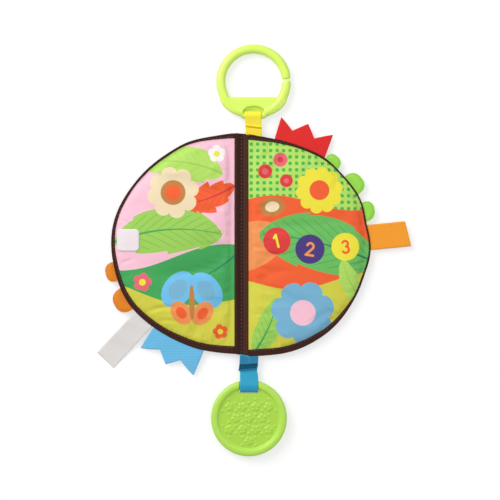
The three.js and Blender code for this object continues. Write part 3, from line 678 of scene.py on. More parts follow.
def settle(piece):
    # turns what the modifiers make into the piece's own mesh
    evaluated = piece.evaluated_get(bpy.context.evaluated_depsgraph_get())
    mesh = bpy.data.meshes.new_from_object(evaluated)
    piece.modifiers.clear()
    piece.data = mesh
    return piece


def rolling(x, y, wavelength, seed, count=9):
    # smooth random swells of about one wavelength, between -1 and 1
    random = np.random.default_rng(seed)
    total = 0
    for _ in range(count):
        turn, start, stretch = random.uniform(0, math.tau, 2).tolist() + [random.uniform(0.7, 1.5)]
        along = x * math.cos(turn) + y * math.sin(turn)
        total = total + np.sin(along * math.tau / (wavelength * stretch) + start)
    return total / math.sqrt(count)


def sheetMesh(name, grid, thickness, material, wrap=False):
    # a cloth sheet of some thickness round a grid of points, rows by columns
    rows, columns = grid.shape[:2]
    down = np.gradient(grid, axis=0)
    if wrap:
        across = (np.roll(grid, -1, axis=1) - np.roll(grid, 1, axis=1)) / 2
    else:
        across = np.gradient(grid, axis=1)
    normal = np.cross(across, down)
    normal /= np.linalg.norm(normal, axis=2, keepdims=True) + 1e-9
    upper = grid + normal * thickness / 2
    lower = grid - normal * thickness / 2
    count = rows * columns
    index = np.arange(count).reshape(rows, columns)
    points = [upper.reshape(-1, 3), lower.reshape(-1, 3)]
    columnSpan = columns if wrap else columns - 1
    faces = []
    for i in range(rows - 1):
        for k in range(columnSpan):
            n = (k + 1) % columns
            a, b, c, d = int(index[i, k]), int(index[i, n]), int(index[i + 1, n]), int(index[i + 1, k])
            faces.append((a, b, c, d))
            faces.append((a + count, d + count, c + count, b + count))
    alongRows = np.cumsum(np.r_[0, np.linalg.norm(np.diff(grid[:, columns // 2], axis=0), axis=1)])
    alongColumns = np.cumsum(np.r_[0, np.linalg.norm(np.diff(grid[rows // 2], axis=0), axis=1)])
    uvs = np.stack(np.meshgrid(alongColumns, alongRows), axis=2).reshape(-1, 2)
    uvs = np.vstack([uvs, uvs])
    if wrap:
        loops = [(index[0], index[1]), (index[-1][::-1], index[-2][::-1])]
    else:
        edge = np.concatenate([index[0], index[1:, -1], index[-1, -2::-1], index[-2:0:-1, 0]])
        inner = np.clip(np.stack(np.unravel_index(edge, (rows, columns))), 1, [[rows - 2], [columns - 2]])
        loops = [(edge, np.ravel_multi_index(inner, (rows, columns)))]
    flat = grid.reshape(-1, 3)
    for edge, inner in loops:
        away = flat[edge] - flat[inner]
        away /= np.linalg.norm(away, axis=1, keepdims=True) + 1e-9
        first = sum(len(p) for p in points)
        points.append(flat[edge] + away * thickness * 0.45)
        uvs = np.vstack([uvs, uvs[edge]])
        for k in range(len(edge)):
            n = (k + 1) % len(edge)
            a, b = int(edge[k]), int(edge[n])
            faces.append((b, a, first + k, first + n))
            faces.append((first + n, first + k, a + count, b + count))
    return makeObject(name, np.vstack(points), faces, material, uvs)


def evenly(line, count, closed=True):
    # points evenly spaced along a line, and how far along each lies
    line = np.asarray(line, float)
    if closed:
        line = np.vstack([line, line[:1]])
    steps = np.r_[0, np.cumsum(np.linalg.norm(np.diff(line, axis=0), axis=1))]
    places = np.linspace(0, steps[-1], count, endpoint=not closed)
    return np.stack([np.interp(places, steps, line[:, k]) for k in range(line.shape[1])], axis=1), places


def smoothStep(share):
    return share * share * (3 - 2 * share)


outlineValues = {
    "blur": 5,  # degrees to either side that even out the unevenness
    "flatFrom": 1.05,  # radians from the fore edge at which the ends begin to flatten
    "evenFrom": 88,  # degrees at which the unevenness has run out
    "runOut": 5,
    "steps": 500,
    "fineSteps": 2400,
}


def outlineReach(half, turn):
    # how far the outline reaches from the middle of the spine, across and along it
    degrees = np.degrees(turn)
    steps = np.linspace(-outlineValues["blur"], outlineValues["blur"], 11)
    weights = 1 - (steps / (outlineValues["blur"] + 1)) ** 2
    shifted = [np.interp(degrees + step, *zip(*half["uneven"])) for step in steps]
    uneven = sum(a * w for a, w in zip(shifted, weights)) / sum(weights)
    first = outlineValues["flatFrom"]
    share = np.clip((np.abs(turn) - first) / (math.pi / 2 - first), 0, 1)
    flattened = np.where(turn > 0, half["top"], half["foot"]) * smoothStep(share)
    toEnd = (outlineValues["evenFrom"] - np.abs(degrees)) / outlineValues["runOut"]
    uneven = uneven * np.clip(toEnd, 0, 1)
    return book["reach"] + uneven, book["halfHeight"] + uneven - flattened


def halfRim(side, inset, gutter=0):
    # the outline of a half, anticlockwise
    half = halves[side]
    start = math.acos((book["innerEdge"] + gutter) / (book["reach"] - inset))
    turn = np.linspace(-start, start, outlineValues["steps"])
    across, along = outlineReach(half, turn)
    x = half["sign"] * (across - inset) * np.cos(turn)
    y = (along - inset) * np.sin(turn) + half["shift"]
    return np.stack([x, y], axis=1)[::half["sign"]]


def rimTree(rim):
    # finds the nearest point of an outline
    fine, places = evenly(rim, outlineValues["fineSteps"])
    tree = KDTree(len(fine))
    for index, (x, y) in enumerate(fine):
        tree.insert((x, y, 0), index)
    tree.balance()
    return {"tree": tree, "places": places, "length": places[-1] + places[1]}


def rimMeasure(edge, x, y):
    # how far in from the rim each point is, and beside which place along it
    found = [edge["tree"].find((a, b, 0)) for a, b in zip(x, y)]
    return np.array([f[2] for f in found]), edge["places"][[f[1] for f in found]]


def padMesh(name, rim, spacing, top, bottom, material):
    # a closed soft pad, evenly meshed: top and bottom give heights from x, y, inset and place
    edge = rimTree(rim)
    border, _ = evenly(rim, max(24, int(edge["length"] / spacing)))
    low, high = border.min(0), border.max(0)
    rows = np.arange(low[1], high[1], spacing * 0.866)
    columns = np.arange(low[0], high[0], spacing)
    x, y = np.meshgrid(columns, rows)
    x = x + (np.arange(len(rows)) % 2)[:, None] * spacing / 2
    inner = np.stack([x.ravel(), y.ravel()], axis=1)
    ends = np.roll(border, -1, axis=0)
    crossing = (border[None, :, 1] > inner[:, None, 1]) != (ends[None, :, 1] > inner[:, None, 1])
    slant = (ends[:, 0] - border[:, 0]) / (ends[:, 1] - border[:, 1] + 1e-12)
    at = border[None, :, 0] + (inner[:, None, 1] - border[None, :, 1]) * slant[None]
    inner = inner[(crossing & (inner[:, None, 0] < at)).sum(1) % 2 == 1]
    inner = inner[rimMeasure(edge, inner[:, 0], inner[:, 1])[0] > spacing * 0.6]
    count = len(border)
    corners = [Vector(p) for p in np.vstack([border, inner])]
    loop = [(i, (i + 1) % count) for i in range(count)]
    flat, _, faces, _, _, _ = delaunay_2d_cdt(corners, loop, [], 1, 1e-5)
    flat = np.array([tuple(v) for v in flat])
    inset, place = rimMeasure(edge, flat[:, 0], flat[:, 1])
    inset[:count] = 0
    upper = np.column_stack([flat, top(flat[:, 0], flat[:, 1], inset, place)])
    lower = np.column_stack([flat, bottom(flat[:, 0], flat[:, 1], inset, place)])
    total = len(flat)
    shell = [tuple(f) for f in faces] + [tuple(i + total for i in f[::-1]) for f in faces]
    shell += [(a + total, b + total, b, a) for a, b in loop]
    piece = makeObject(name, np.vstack([upper, lower]), shell, material)
    piece["rimCount"] = count
    piece["sideCount"] = total
    return piece


def swell(inset, start, run, loft):
    # a crown that rises steeply past the hem and levels off
    share = np.clip((inset - start) / run, 0, 1)
    return loft * (1 - (1 - share) ** 2.2)


def pinch(inset, place, length, seed, pitch=8.5, depth=0.45, inward=9):
    # puckers where the seam draws the cloth in, strongest at the rim
    random = np.random.default_rng(seed)
    total = np.zeros_like(inset)
    at = 0
    while at < length:
        at += pitch * random.uniform(0.5, 1.5)
        width = pitch * random.uniform(0.16, 0.34)
        gap = np.abs(place - at)
        gap = np.minimum(gap, length - gap)
        strength = depth * random.uniform(0.3, 1)
        fading = np.exp(-inset / (inward * random.uniform(0.4, 1.5)))
        total -= strength * np.exp(-((gap / width) ** 2)) * fading
    return total * np.clip(inset / 1.5, 0, 1)


def cutSize(grid, turnedIn=0):
    # the width and length in metres that a grid of cloth had when it was cut, with
    # the strip that is turned in along both of its long edges
    widths = np.linalg.norm(np.diff(grid, axis=1), axis=2).sum(1)
    lengths = np.linalg.norm(np.diff(grid, axis=0), axis=2).sum(0)
    return float(widths.mean() + 2 * turnedIn) * 0.001, float(lengths.mean()) * 0.001


def outlineSize(rim):
    # the bounding sides and the area in metres inside an outline
    wide, long = (rim.max(0) - rim.min(0)) * 0.001
    ends = np.roll(rim, -1, axis=0)
    area = abs((rim[:, 0] * ends[:, 1] - rim[:, 1] * ends[:, 0]).sum()) / 2
    return (float(wide), float(long)), float(area) * 1e-6


def standFor(piece, node, body):
    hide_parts(node)
    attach(piece, body)
    return piece


def surfaceHeight(piece, x, y):
    # the height of a piece's upper side over a place, all in millimetres
    hit, place, _, _ = piece.ray_cast(Vector((x * 0.001, y * 0.001, 0.03)), Vector((0, 0, -1)))
    return place.z * 1000 if hit else None


def meshPoints(piece):
    # a piece's points in millimetres
    points = np.empty(len(piece.data.vertices) * 3)
    piece.data.vertices.foreach_get("co", points)
    return points.reshape(-1, 3) * 1000


def setPoints(piece, points):
    piece.data.vertices.foreach_set("co", (points * 0.001).ravel())
    piece.data.update()


coverValues = {
    "seed": {"left": 11, "right": 23},
    "loft": 2.2,
    "hem": 4,
    "hemRise": 0.75,
    "run": 20,
    "spacing": 2.5,
    "cloth": 0.55,
    "wave": 0.42,
    "waveLength": 46,
    "waveFrom": 14,
    "pucker": 0.7,
    "pressure": 5,
    "slack": -0.022,  # the cloth is cut this share larger than the pad under it
    "frames": 20,
    "cap": 1.5,  # how far a point may move in the simulation
}
clothSettings = {
    "vertex_group_mass": "sewn",
    "use_pressure": True,
    "uniform_pressure_force": coverValues["pressure"],
    "shrink_min": coverValues["slack"],
    "shrink_max": coverValues["slack"],
    "quality": 6,
    "mass": 0.15,
    "tension_stiffness": 25,
    "compression_stiffness": 25,
    "shear_stiffness": 8,
    "bending_stiffness": 0.35,
}


def simulateCloth(piece, pinned):
    # lets the loose cloth of a pad find its own wrinkles, then keeps the result
    start = meshPoints(piece) * 0.001
    group = piece.vertex_groups.new(name="sewn")
    group.add(pinned, 1, "REPLACE")
    cloth = piece.modifiers.new("cloth", "CLOTH")
    for label, value in clothSettings.items():
        setattr(cloth.settings, label, value)
    cloth.settings.effector_weights.gravity = 0
    cloth.collision_settings.use_collision = False
    scene = bpy.context.scene
    last = coverValues["frames"]
    scene.frame_start, scene.frame_end = 1, last
    cloth.point_cache.frame_start, cloth.point_cache.frame_end = 1, last
    for number in range(1, last + 1):
        scene.frame_set(number)
    found = meshPoints(piece.evaluated_get(bpy.context.evaluated_depsgraph_get())) * 0.001
    piece.modifiers.clear()
    piece.vertex_groups.clear()
    scene.frame_set(1)
    move = found - start
    size = np.linalg.norm(move, axis=1, keepdims=True) + 1e-12
    cap = coverValues["cap"] * 0.001
    print(piece.name, "moved", round(float(size.max()) * 1000, 2), "mm before the cap")
    move *= cap * np.tanh(size / cap) / size
    setPoints(piece, (start + move) * 1000)


# each crease runs from one place to another, with its depth and width
coverCreases = {
    "left": [
        ((-83, -58), (-52, -53), 1.0, 2.6),
        ((-76, -66), (-50, -66), 0.6, 2.2),
        ((-107, 22), (-92, 15), 0.6, 1.8),
        ((-104, -18), (-90, -12), 0.5, 1.8),
        ((-10, 82), (-14, 44), 0.4, 2.4),
        ((-9, 10), (-15, -32), 0.4, 2.6),
        ((-60, 84), (-50, 70), 0.5, 2),
        ((-28, -86), (-26, -72), 0.5, 1.8),
    ],
    "right": [
        ((108, -10), (92, -20), 0.7, 2),
        ((99, -40), (84, -40), 0.6, 2.2),
        ((86, -60), (70, -54), 0.6, 2.2),
        ((9, 62), (14, 28), 0.4, 2.4),
        ((8, -20), (14, -60), 0.4, 2.6),
        ((60, 78), (54, 62), 0.5, 2),
        ((30, -94), (32, -78), 0.5, 1.8),
    ],
}


def creases(x, y, folds):
    # soft, slightly bowed valleys along lines, with a small ridge on either side
    total = 0
    for (x0, y0), (x1, y1), depth, width in folds:
        run = math.hypot(x1 - x0, y1 - y0)
        along = ((x - x0) * (x1 - x0) + (y - y0) * (y1 - y0)) / run**2
        across = ((x - x0) * (y1 - y0) - (y - y0) * (x1 - x0)) / run
        across = across + 0.06 * run * np.sin(along * 3.4)
        fadeOut = np.clip(1.15 - np.abs(along * 2 - 1), 0, 1)
        wave = (1 - (across / width) ** 2) * np.exp(-((across / width) ** 2))
        total = total - depth * wave * smoothStep(fadeOut)
    return total


def addOuterCloth(side):
    seed = coverValues["seed"][side]
    rim = halfRim(side, book["panelInset"])
    hemTop = book["edgeHeight"] + coverValues["hemRise"]

    def top(x, y, inset, place):
        crown = swell(inset, coverValues["hem"] * 0.5, coverValues["run"], coverValues["loft"])
        waves = coverValues["wave"] * rolling(x, y, coverValues["waveLength"], seed)
        return hemTop + crown + waves * np.clip(inset / coverValues["waveFrom"], 0, 1)

    def bottom(x, y, inset, place):
        crown = swell(inset, coverValues["hem"], coverValues["run"], coverValues["loft"] - 0.6)
        return hemTop - coverValues["cloth"] + crown

    panel = padMesh(f"{side}_outer_cloth", rim, coverValues["spacing"], top, bottom, f"{side}Print")
    count = panel["sideCount"]
    simulateCloth(panel, [*range(panel["rimCount"]), *range(count, len(panel.data.vertices))])
    points = meshPoints(panel)
    points[count:] = points[:count] - [0, 0, coverValues["cloth"]]
    setPoints(panel, points)
    smooth = panel.modifiers.new("smooth", "SUBSURF")
    smooth.levels = smooth.render_levels = 1
    settle(panel)
    # puckers and creases, with the hem kept above the binding's fold
    edge = rimTree(rim)
    points = meshPoints(panel)
    inset, place = rimMeasure(edge, points[:, 0], points[:, 1])
    points[:, 2] += (
        pinch(inset, place, edge["length"], seed, depth=coverValues["pucker"])
        + creases(points[:, 0], points[:, 1], coverCreases[side]) * np.clip(inset / 3, 0, 1)
    )
    normals = np.empty(points.size)
    panel.data.vertices.foreach_get("normal", normals)
    facingUp = normals.reshape(-1, 3)[:, 2] > 0
    points[:, 2] = np.maximum(points[:, 2], np.where(facingUp, hemTop - 0.1, hemTop - 0.6))
    setPoints(panel, points)
    return standFor(panel, f"{side}_outer_panel", f"{side}_cover")


insideValues = {
    "seed": {"left": 31, "right": 43}, "roomForPage": 0.32, "liningHem": 3.92, "lining": 0.5,
    "film": (4.1, 4.3), "filmInset": 12, "filmGutter": 6, "crinkle": 0.11, "crinkleLength": 8,
    "fillingFoot": 4.62, "fillingInset": 9, "fillingGutter": 5, "fillingLoft": 1.45,
}


def addCoverInside(side):
    seed = insideValues["seed"][side]
    body = f"{side}_cover"
    rim = halfRim(side, book["panelInset"])
    length = rimTree(rim)["length"]
    hem = insideValues["liningHem"]
    field = book["pageThickness"] + insideValues["roomForPage"]

    def liningBottom(x, y, inset, place):
        dip = smoothStep(np.clip((inset - 3) / 6, 0, 1))
        puckers = 0.5 * pinch(inset, place, length, seed) * dip
        return hem + (field - hem) * dip - puckers + 0.05 * (1 + rolling(x, y, 30, seed)) * dip

    def liningTop(*place):
        return liningBottom(*place) + insideValues["lining"]

    lining = padMesh(f"{side}_lining", rim, 3, liningTop, liningBottom, "lining")
    standFor(lining, f"{side}_inner_panel", body)

    def crinkle(x, y):
        return insideValues["crinkle"] * rolling(x, y, insideValues["crinkleLength"], seed + 2)

    low, high = insideValues["film"]
    filmRim = halfRim(side, insideValues["filmInset"], insideValues["filmGutter"])
    film = padMesh(
        f"{side}_film", filmRim, 3.2,
        lambda x, y, *_: high + crinkle(x, y), lambda x, y, *_: low + crinkle(x, y), "film",
    )
    standFor(film, f"{side}_crinkle_film", body)
    size, area = outlineSize(filmRim)

    def roof(x, y):
        # the lowest point of the outer cloth near a place
        near = ((0, 0), (2, 0), (-2, 0), (0, 2), (0, -2))
        return min(surfaceHeight(covers[side], x + u, y + v) or 9 for u, v in near)

    def fillingTop(x, y, inset, place):
        free = 4.95 + swell(inset, 0, 16, insideValues["fillingLoft"]) + 0.1 * rolling(x, y, 14, seed + 3)
        under = np.array([roof(a, b) for a, b in zip(x, y)]) - coverValues["cloth"] - 0.3
        return np.maximum(np.minimum(free, under), insideValues["fillingFoot"] + 0.06)

    fillingRim = halfRim(side, insideValues["fillingInset"], insideValues["fillingGutter"])
    filling = padMesh(
        f"{side}_filling", fillingRim, 3.6,
        fillingTop, lambda x, *_: insideValues["fillingFoot"] + 0 * x, "wadding",
    )
    standFor(filling, f"{side}_wadding", body)


covers = {side: addOuterCloth(side) for side in halves}
for side in halves:
    addCoverInside(side)
print("covers made")

# "upperLeg" gives the visible width of the tape in mm, by degrees from the fore edge
bindingValues = {
    "seed": {"left": 5, "right": 8},
    "rows": 420,
    "wall": 0.55,
    "upperLeg": {
        "left": [
            (-90, 6.4), (-60, 5.2), (-30, 4.0), (0, 2.8), (30, 1.8), (60, 1.7), (74, 2.2), (84, 3.4),
            (90, 4.6),
        ],
        "right": [
            (-90, 5.6), (-66, 5.4), (-45, 3.8), (-28, 1.7), (0, 1.1), (40, 1.1), (60, 1.6), (76, 2.8),
            (90, 5),
        ],
    },
    "wander": 0.22,
    "ripple": 0.06,
    "lowerLeg": 3.4,
    "lowerHeight": 3.28,
    "turnedIn": 1.2,
}


def edgePoint(half, degrees, inset=0):
    turn = math.radians(degrees)
    across, along = (float(reach) - inset for reach in outlineReach(half, turn))
    point = np.array([half["sign"] * across * math.cos(turn), half["shift"] + along * math.sin(turn)])
    out = np.array([half["sign"] * math.cos(turn) / across, math.sin(turn) / along])
    return point, out / np.linalg.norm(out)


def addBinding(side):
    half = halves[side]
    rows = bindingValues["rows"]
    start = math.degrees(math.acos((book["innerEdge"] + 0.3) / book["reach"]))
    degrees = np.linspace(-start, start, rows)
    random = np.random.default_rng(bindingValues["seed"][side])
    wander = np.convolve(random.normal(0, 1, rows + 20), np.hanning(21) / 10, "same")[:rows]
    legs = np.interp(degrees, *zip(*bindingValues["upperLeg"][side]))
    legs = np.maximum(0.9, legs + bindingValues["wander"] * wander)
    grid = []
    for angle, leg in zip(degrees, legs):
        point, out = edgePoint(half, angle)
        section = []
        for k in range(9):  # the upper leg lies on the panel
            inset = leg * (1 - k / 8) + k / 8
            height = surfaceHeight(covers[side], *(point - out * inset)) if inset > 1.4 else None
            section.append([inset, (height or 5.45) + 0.32])
        for k in range(1, 10):  # the fold round the edge
            turn = math.pi * k / 10
            section.append([1.32 - 1.25 * math.sin(turn), book["edgeHeight"] + 1.42 * math.cos(turn)])
        for k in range(5):  # and the lower leg
            section.append([0.9 + (bindingValues["lowerLeg"] - 0.9) * k / 4, bindingValues["lowerHeight"]])
        grid.append([[*(point - out * inset), z] for inset, z in section])
    grid = np.array(grid)
    row = np.arange(rows)
    ripple = bindingValues["ripple"] * np.sin(row * 0.9 + 2 * np.sin(row * 0.13))
    grid[:, :8, 2] += ripple[:, None] * np.linspace(1, 0.2, 8)[None]
    piece = sheetMesh(f"{side}_edge_tape", grid[::half["sign"]], bindingValues["wall"], "brown")
    standFor(piece, f"{side}_binding", f"{side}_cover")
    size = cutSize(grid, bindingValues["turnedIn"])
    return grid, legs


bindings = {side: addBinding(side) for side in halves}
print("bindings made")

# Stitches, by Geometry Nodes along any lines

stitchInputs = {
    "pitch": ("NodeSocketFloat", 0.0024),
    "length": ("NodeSocketFloat", 0.0018),
    "radius": ("NodeSocketFloat", 0.00016),
    "jitter": ("NodeSocketFloat", 0.08),
    "seed": ("NodeSocketInt", 3),
    "thread": ("NodeSocketMaterial", None),
}


def buildStitchTree():
    # one arched strand of thread, set at even steps along the lines and turned a little at random
    tree = bpy.data.node_groups.new("stitchRow", "GeometryNodeTree")
    tree.interface.new_socket("Geometry", in_out="INPUT", socket_type="NodeSocketGeometry")
    for label, (kind, value) in stitchInputs.items():
        socket = tree.interface.new_socket(label, in_out="INPUT", socket_type=kind)
        if value is not None:
            socket.default_value = value
    tree.interface.new_socket("Geometry", in_out="OUTPUT", socket_type="NodeSocketGeometry")
    given = tree.nodes.new("NodeGroupInput").outputs

    def node(kind, plugs, **settings):
        # a node with its inputs set or linked, by label or number
        made = tree.nodes.new(kind)
        for label, value in settings.items():
            setattr(made, label, value)
        for label, value in plugs.items():
            if isinstance(value, bpy.types.NodeSocket):
                tree.links.new(value, made.inputs[label])
            else:
                made.inputs[label].default_value = value
        return made.outputs

    def times(value, factor):
        return node("ShaderNodeMath", {0: value, 1: factor}, operation="MULTIPLY")[0]

    def point(x, z):
        return node("ShaderNodeCombineXYZ", {0: x, 2: z})[0]

    path = node("GeometryNodeMeshToCurve", {"Mesh": given["Geometry"]})[0]
    spots = node("GeometryNodeCurveToPoints", {"Curve": path, "Length": given["pitch"]}, mode="LENGTH")
    half = times(given["length"], 0.5)
    arch = node("GeometryNodeCurveQuadraticBezier", {
        "Resolution": 5,
        "Start": point(times(half, -1.0), times(given["radius"], -1.2)),
        "Middle": point(0.0, times(given["radius"], 2.2)),
        "End": point(half, times(given["radius"], -1.2)),
    })[0]
    ring = node("GeometryNodeCurvePrimitiveCircle", {"Resolution": 6, "Radius": given["radius"]})[0]
    strand = node("GeometryNodeCurveToMesh", {"Curve": arch, "Profile Curve": ring, "Fill Caps": True})[0]
    facing = {"Vector": spots["Tangent"]}
    along = node("FunctionNodeAlignRotationToVector", facing, axis="X", pivot_axis="Z")[0]
    spread = {2: times(given["jitter"], -1.0), 3: given["jitter"], "Seed": given["seed"]}
    wobble = node("FunctionNodeRandomValue", spread, data_type="FLOAT")[1]
    turn = node("FunctionNodeAxisAngleToRotation", {"Axis": (0, 0, 1), "Angle": wobble})[0]
    both = node("FunctionNodeRotateRotation", {0: along, 1: turn}, rotation_space="LOCAL")[0]
    placing = {"Points": spots["Points"], "Instance": strand, "Rotation": both}
    placed = node("GeometryNodeInstanceOnPoints", placing)[0]
    real = node("GeometryNodeRealizeInstances", {0: placed})[0]
    dyed = node("GeometryNodeSetMaterial", {"Geometry": real, "Material": given["thread"]})[0]
    node("NodeGroupOutput", {0: dyed})
    return tree


def runNodes(piece, tree, values):
    # sets the inputs by their identifiers, makes the result the piece's own mesh
    modifier = piece.modifiers.new("nodes", "NODES")
    modifier.node_group = tree
    for item in tree.interface.items_tree:
        if item.item_type == "SOCKET" and item.in_out == "INPUT" and item.name in values:
            modifier[item.identifier] = values[item.name]
    settle(piece)
    piece.data.shade_smooth()
    return piece


stitchTree = buildStitchTree()


def addStitches(name, lines, thread, body, pitch=2.4, length=1.8, radius=0.16, seed=3):
    # lines are lists of points in millimetres, all sewn with one thread
    points, edges = [], []
    for line in lines:
        first = len(points)
        points += [tuple(p) for p in line]
        edges += [(first + k, first + k + 1) for k in range(len(line) - 1)]
    piece = rawMesh(name, points, [], edges)
    sizes = {"pitch": pitch * 0.001, "length": length * 0.001, "radius": radius * 0.001}
    runNodes(piece, stitchTree, {**sizes, "seed": seed, "thread": materials[thread]})
    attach(piece, body)
    return piece


for side, (grid, legs) in bindings.items():
    # one row of stitches along the inner edge of the tape, short of the spine at both ends
    line = []
    for row, leg in list(zip(grid, legs))[3:-3]:
        edge, back = row[0], row[4]
        inward = (back - edge)[:2] / (np.linalg.norm((back - edge)[:2]) + 1e-9)
        x, y = edge[:2] + inward * min(0.9, leg * 0.35)
        line.append((x, y, edge[2] + 0.31))
    name = f"{side}_edge_stitches"
    addStitches(name, [line], "thread", f"{side}_cover", pitch=3.1, length=1.9, radius=0.15)

spineValues = {
    "halfWidth": 5.75,
    "stitchAt": -0.3,
    "edge": 4.73,
    "valley": 0.45,
    "dip": 0.15,
    "clear": 2.7,  # outside this the covers need the room when they turn
    "endRise": 0.7,
    "endDrop": 1.5,
    "endRoll": 1.4,
    "wall": 0.5,
    "stitches": (-91.5, 91),
    "fold": (-88, 87.2),
    "foldWall": 0.22,
}


def spineEnds(x):
    # the strip's ends run from one half's bound edge to the other's
    share = smoothStep(np.clip((x + book["innerEdge"]) / (2 * book["innerEdge"]), 0, 1))
    left, right = halves["left"], halves["right"]
    low = (left["shift"] + left["foot"]) * (1 - share) + (right["shift"] + right["foot"]) * share
    high = (left["shift"] - left["top"]) * (1 - share) + (right["shift"] - right["top"]) * share
    return low - book["halfHeight"] + 0.05, high + book["halfHeight"] - 0.05


def addSpine():
    x = np.linspace(-1, 1, 41) * spineValues["halfWidth"]
    low, high = spineEnds(x)
    rows = np.r_[np.linspace(0, 0.012, 9)[:-1], np.linspace(0.012, 0.988, 250), np.linspace(0.988, 1, 9)[1:]]
    along = low[None] + (high - low)[None] * rows[:, None]
    across = np.broadcast_to(x[None], along.shape)
    share = np.abs(across / spineValues["halfWidth"])
    # a narrow valley down to the stitches
    fromRow = np.abs(across - spineValues["stitchAt"]) / spineValues["halfWidth"]
    height = spineValues["edge"] - spineValues["valley"] * np.clip(1 - fromRow * 5.4, 0, 1)
    height -= spineValues["dip"] * np.clip(1 - fromRow * 1.15, 0, 1) + 0.25 * share**8
    # the middle rises towards the ends and rolls over them
    toEnd = np.minimum(along - low[None], high[None] - along)
    rise = spineValues["endRise"] * np.clip(1 - toEnd / 7, 0, 1)
    roll = spineValues["endDrop"] * np.clip(1 - toEnd / spineValues["endRoll"], 0, 1) ** 2
    height += np.clip(1 - (across / spineValues["clear"]) ** 4, 0, 1) * (rise - roll)
    waves = 0.08 * np.sin(along * 1.05 + 1.2 * np.sin(along * 0.23) + across * 0.15)
    height += (waves + 0.05 * rolling(across, along, 17, 5)) * (1 - share**2)
    grid = np.dstack([across, along, height])
    strip = sheetMesh("spine_tape", grid[:, ::-1], spineValues["wall"], "spineBrown")
    standFor(strip, "spine_strip", "spine")
    line = []
    middle = spineValues["stitchAt"]
    for y in np.linspace(*spineValues["stitches"], 180):
        line.append((middle, y, (surfaceHeight(strip, middle, y) or 4.7) + 0.02))
    addStitches("spine_stitches", [line], "thread", "spine", pitch=3.0, length=2.0, radius=0.19)

    # the fold under it, down to the table
    half = [(0.2, 4.0), (0.3, 3), (0.31, 1.8), (0.27, 0.6), (0.16, 0.2)]
    section = [(-x, z) for x, z in half] + [(0, 0.12)] + half[::-1]
    foldGrid = np.array([[[x, y, z] for x, z in section] for y in np.linspace(*spineValues["fold"], 120)])
    fold = sheetMesh("spine_fold", foldGrid, spineValues["foldWall"], "brown")
    standFor(fold, "gutter_fold", "spine")
    cutSize(grid)


addSpine()

pageValues = {
    "seed": {"left": 61, "right": 67},
    "hemBack": 0.65,
    "hemFront": 1.45,
    "field": 2.55,
    "cloth": 0.45,
    "film": (1.0, 1.55),
    "filmInset": 8,
    "filmGutter": 5,
    "leg": 2.5,
    "wall": 0.34,
    "tapeBox": 10.2,  # it is cut on a curve, so its box is wider than the tape
    "hingeTape": {"half": 82, "low": 2.35, "high": 3.5, "wall": 0.5},
}


def addPage(side):
    half = halves[side]
    body = f"{side}_page"
    seed = pageValues["seed"][side]
    cloth = pageValues["cloth"]
    rim = halfRim(side, book["pageInset"] + 0.7)
    length = rimTree(rim)["length"]

    def dip(inset):
        return smoothStep(np.clip((inset - 2) / 4, 0, 1))

    def backBottom(x, y, inset, place):
        puckers = 0.5 * pinch(inset, place, length, seed, depth=0.3)
        return pageValues["hemBack"] * (1 - dip(inset)) - puckers + 0.01

    def frontTop(x, y, inset, place):
        field = pageValues["field"] - 0.06 * (1 + rolling(x, y, 26, seed))
        hem = pageValues["hemFront"] + cloth
        puckers = 0.5 * pinch(inset, place, length, seed + 1, depth=0.3)
        return hem + (field - hem) * dip(inset) + puckers

    def backTop(*place):
        return backBottom(*place) + cloth

    def frontBottom(*place):
        return frontTop(*place) - cloth

    back = padMesh(f"{side}_page_back_cloth", rim, 2.6, backTop, backBottom, "pageBack")
    standFor(back, f"{side}_page_back", body)
    front = padMesh(f"{side}_page_front_cloth", rim, 2.6, frontTop, frontBottom, "pagePrint")
    standFor(front, f"{side}_page_front", body)

    def filmTop(x, y, inset, place):
        return pageValues["film"][1] + 0.12 * rolling(x, y, 9, seed)

    def filmBottom(x, y, inset, place):
        return pageValues["film"][0] + 0.12 * rolling(x, y, 8, seed + 2)

    filmRim = halfRim(side, book["pageInset"] + pageValues["filmInset"], pageValues["filmGutter"])
    film = padMesh(f"{side}_page_film", filmRim, 3.4, filmTop, filmBottom, "film")
    standFor(film, f"{side}_page_crinkle_film", body)
    size, area = outlineSize(filmRim)

    # the tape round its edge: a leg on the front, the fold and a leg on the back
    leg = pageValues["leg"]
    section = [(leg * (1 - k / 4) + k / 4, 2.36) for k in range(5)]
    turns = [math.pi * k / 8 for k in range(1, 8)]
    section += [(1.0 - 0.83 * math.sin(turn), 1.3 + 1.06 * math.cos(turn)) for turn in turns]
    section += [(1.0 + (leg - 1.0) * k / 4, 0.24) for k in range(5)]
    start = math.degrees(math.acos((book["innerEdge"] + 0.4) / (book["reach"] - book["pageInset"])))
    grid = []
    for angle in np.linspace(-start, start, 260):
        point, out = edgePoint(half, angle, book["pageInset"])
        grid.append([[*(point - out * inset), z] for inset, z in section])
    grid = np.array(grid)
    tape = sheetMesh(f"{side}_page_edge_tape", grid[::half["sign"]], pageValues["wall"], "brown")
    standFor(tape, f"{side}_page_binding", body)

    # the strip that carries the page in the spine's seam
    hinge = pageValues["hingeTape"]
    y = np.linspace(-hinge["half"], hinge["half"], 90) + half["shift"]
    along, up = np.meshgrid(y, np.linspace(hinge["low"], hinge["high"], 7), indexing="ij")
    bulge = half["sign"] * (book["innerEdge"] + 0.6 + 0.12 * np.sin(along * 0.4))
    strip = sheetMesh(f"{side}_page_hinge_tape", np.dstack([bulge, along, up]), hinge["wall"], "brown")
    standFor(strip, f"{side}_page_tape", body)
    wide, long = cutSize(grid)


for side in halves:
    addPage(side)
print("spine and pages made")

# Tabs sewn into the seam


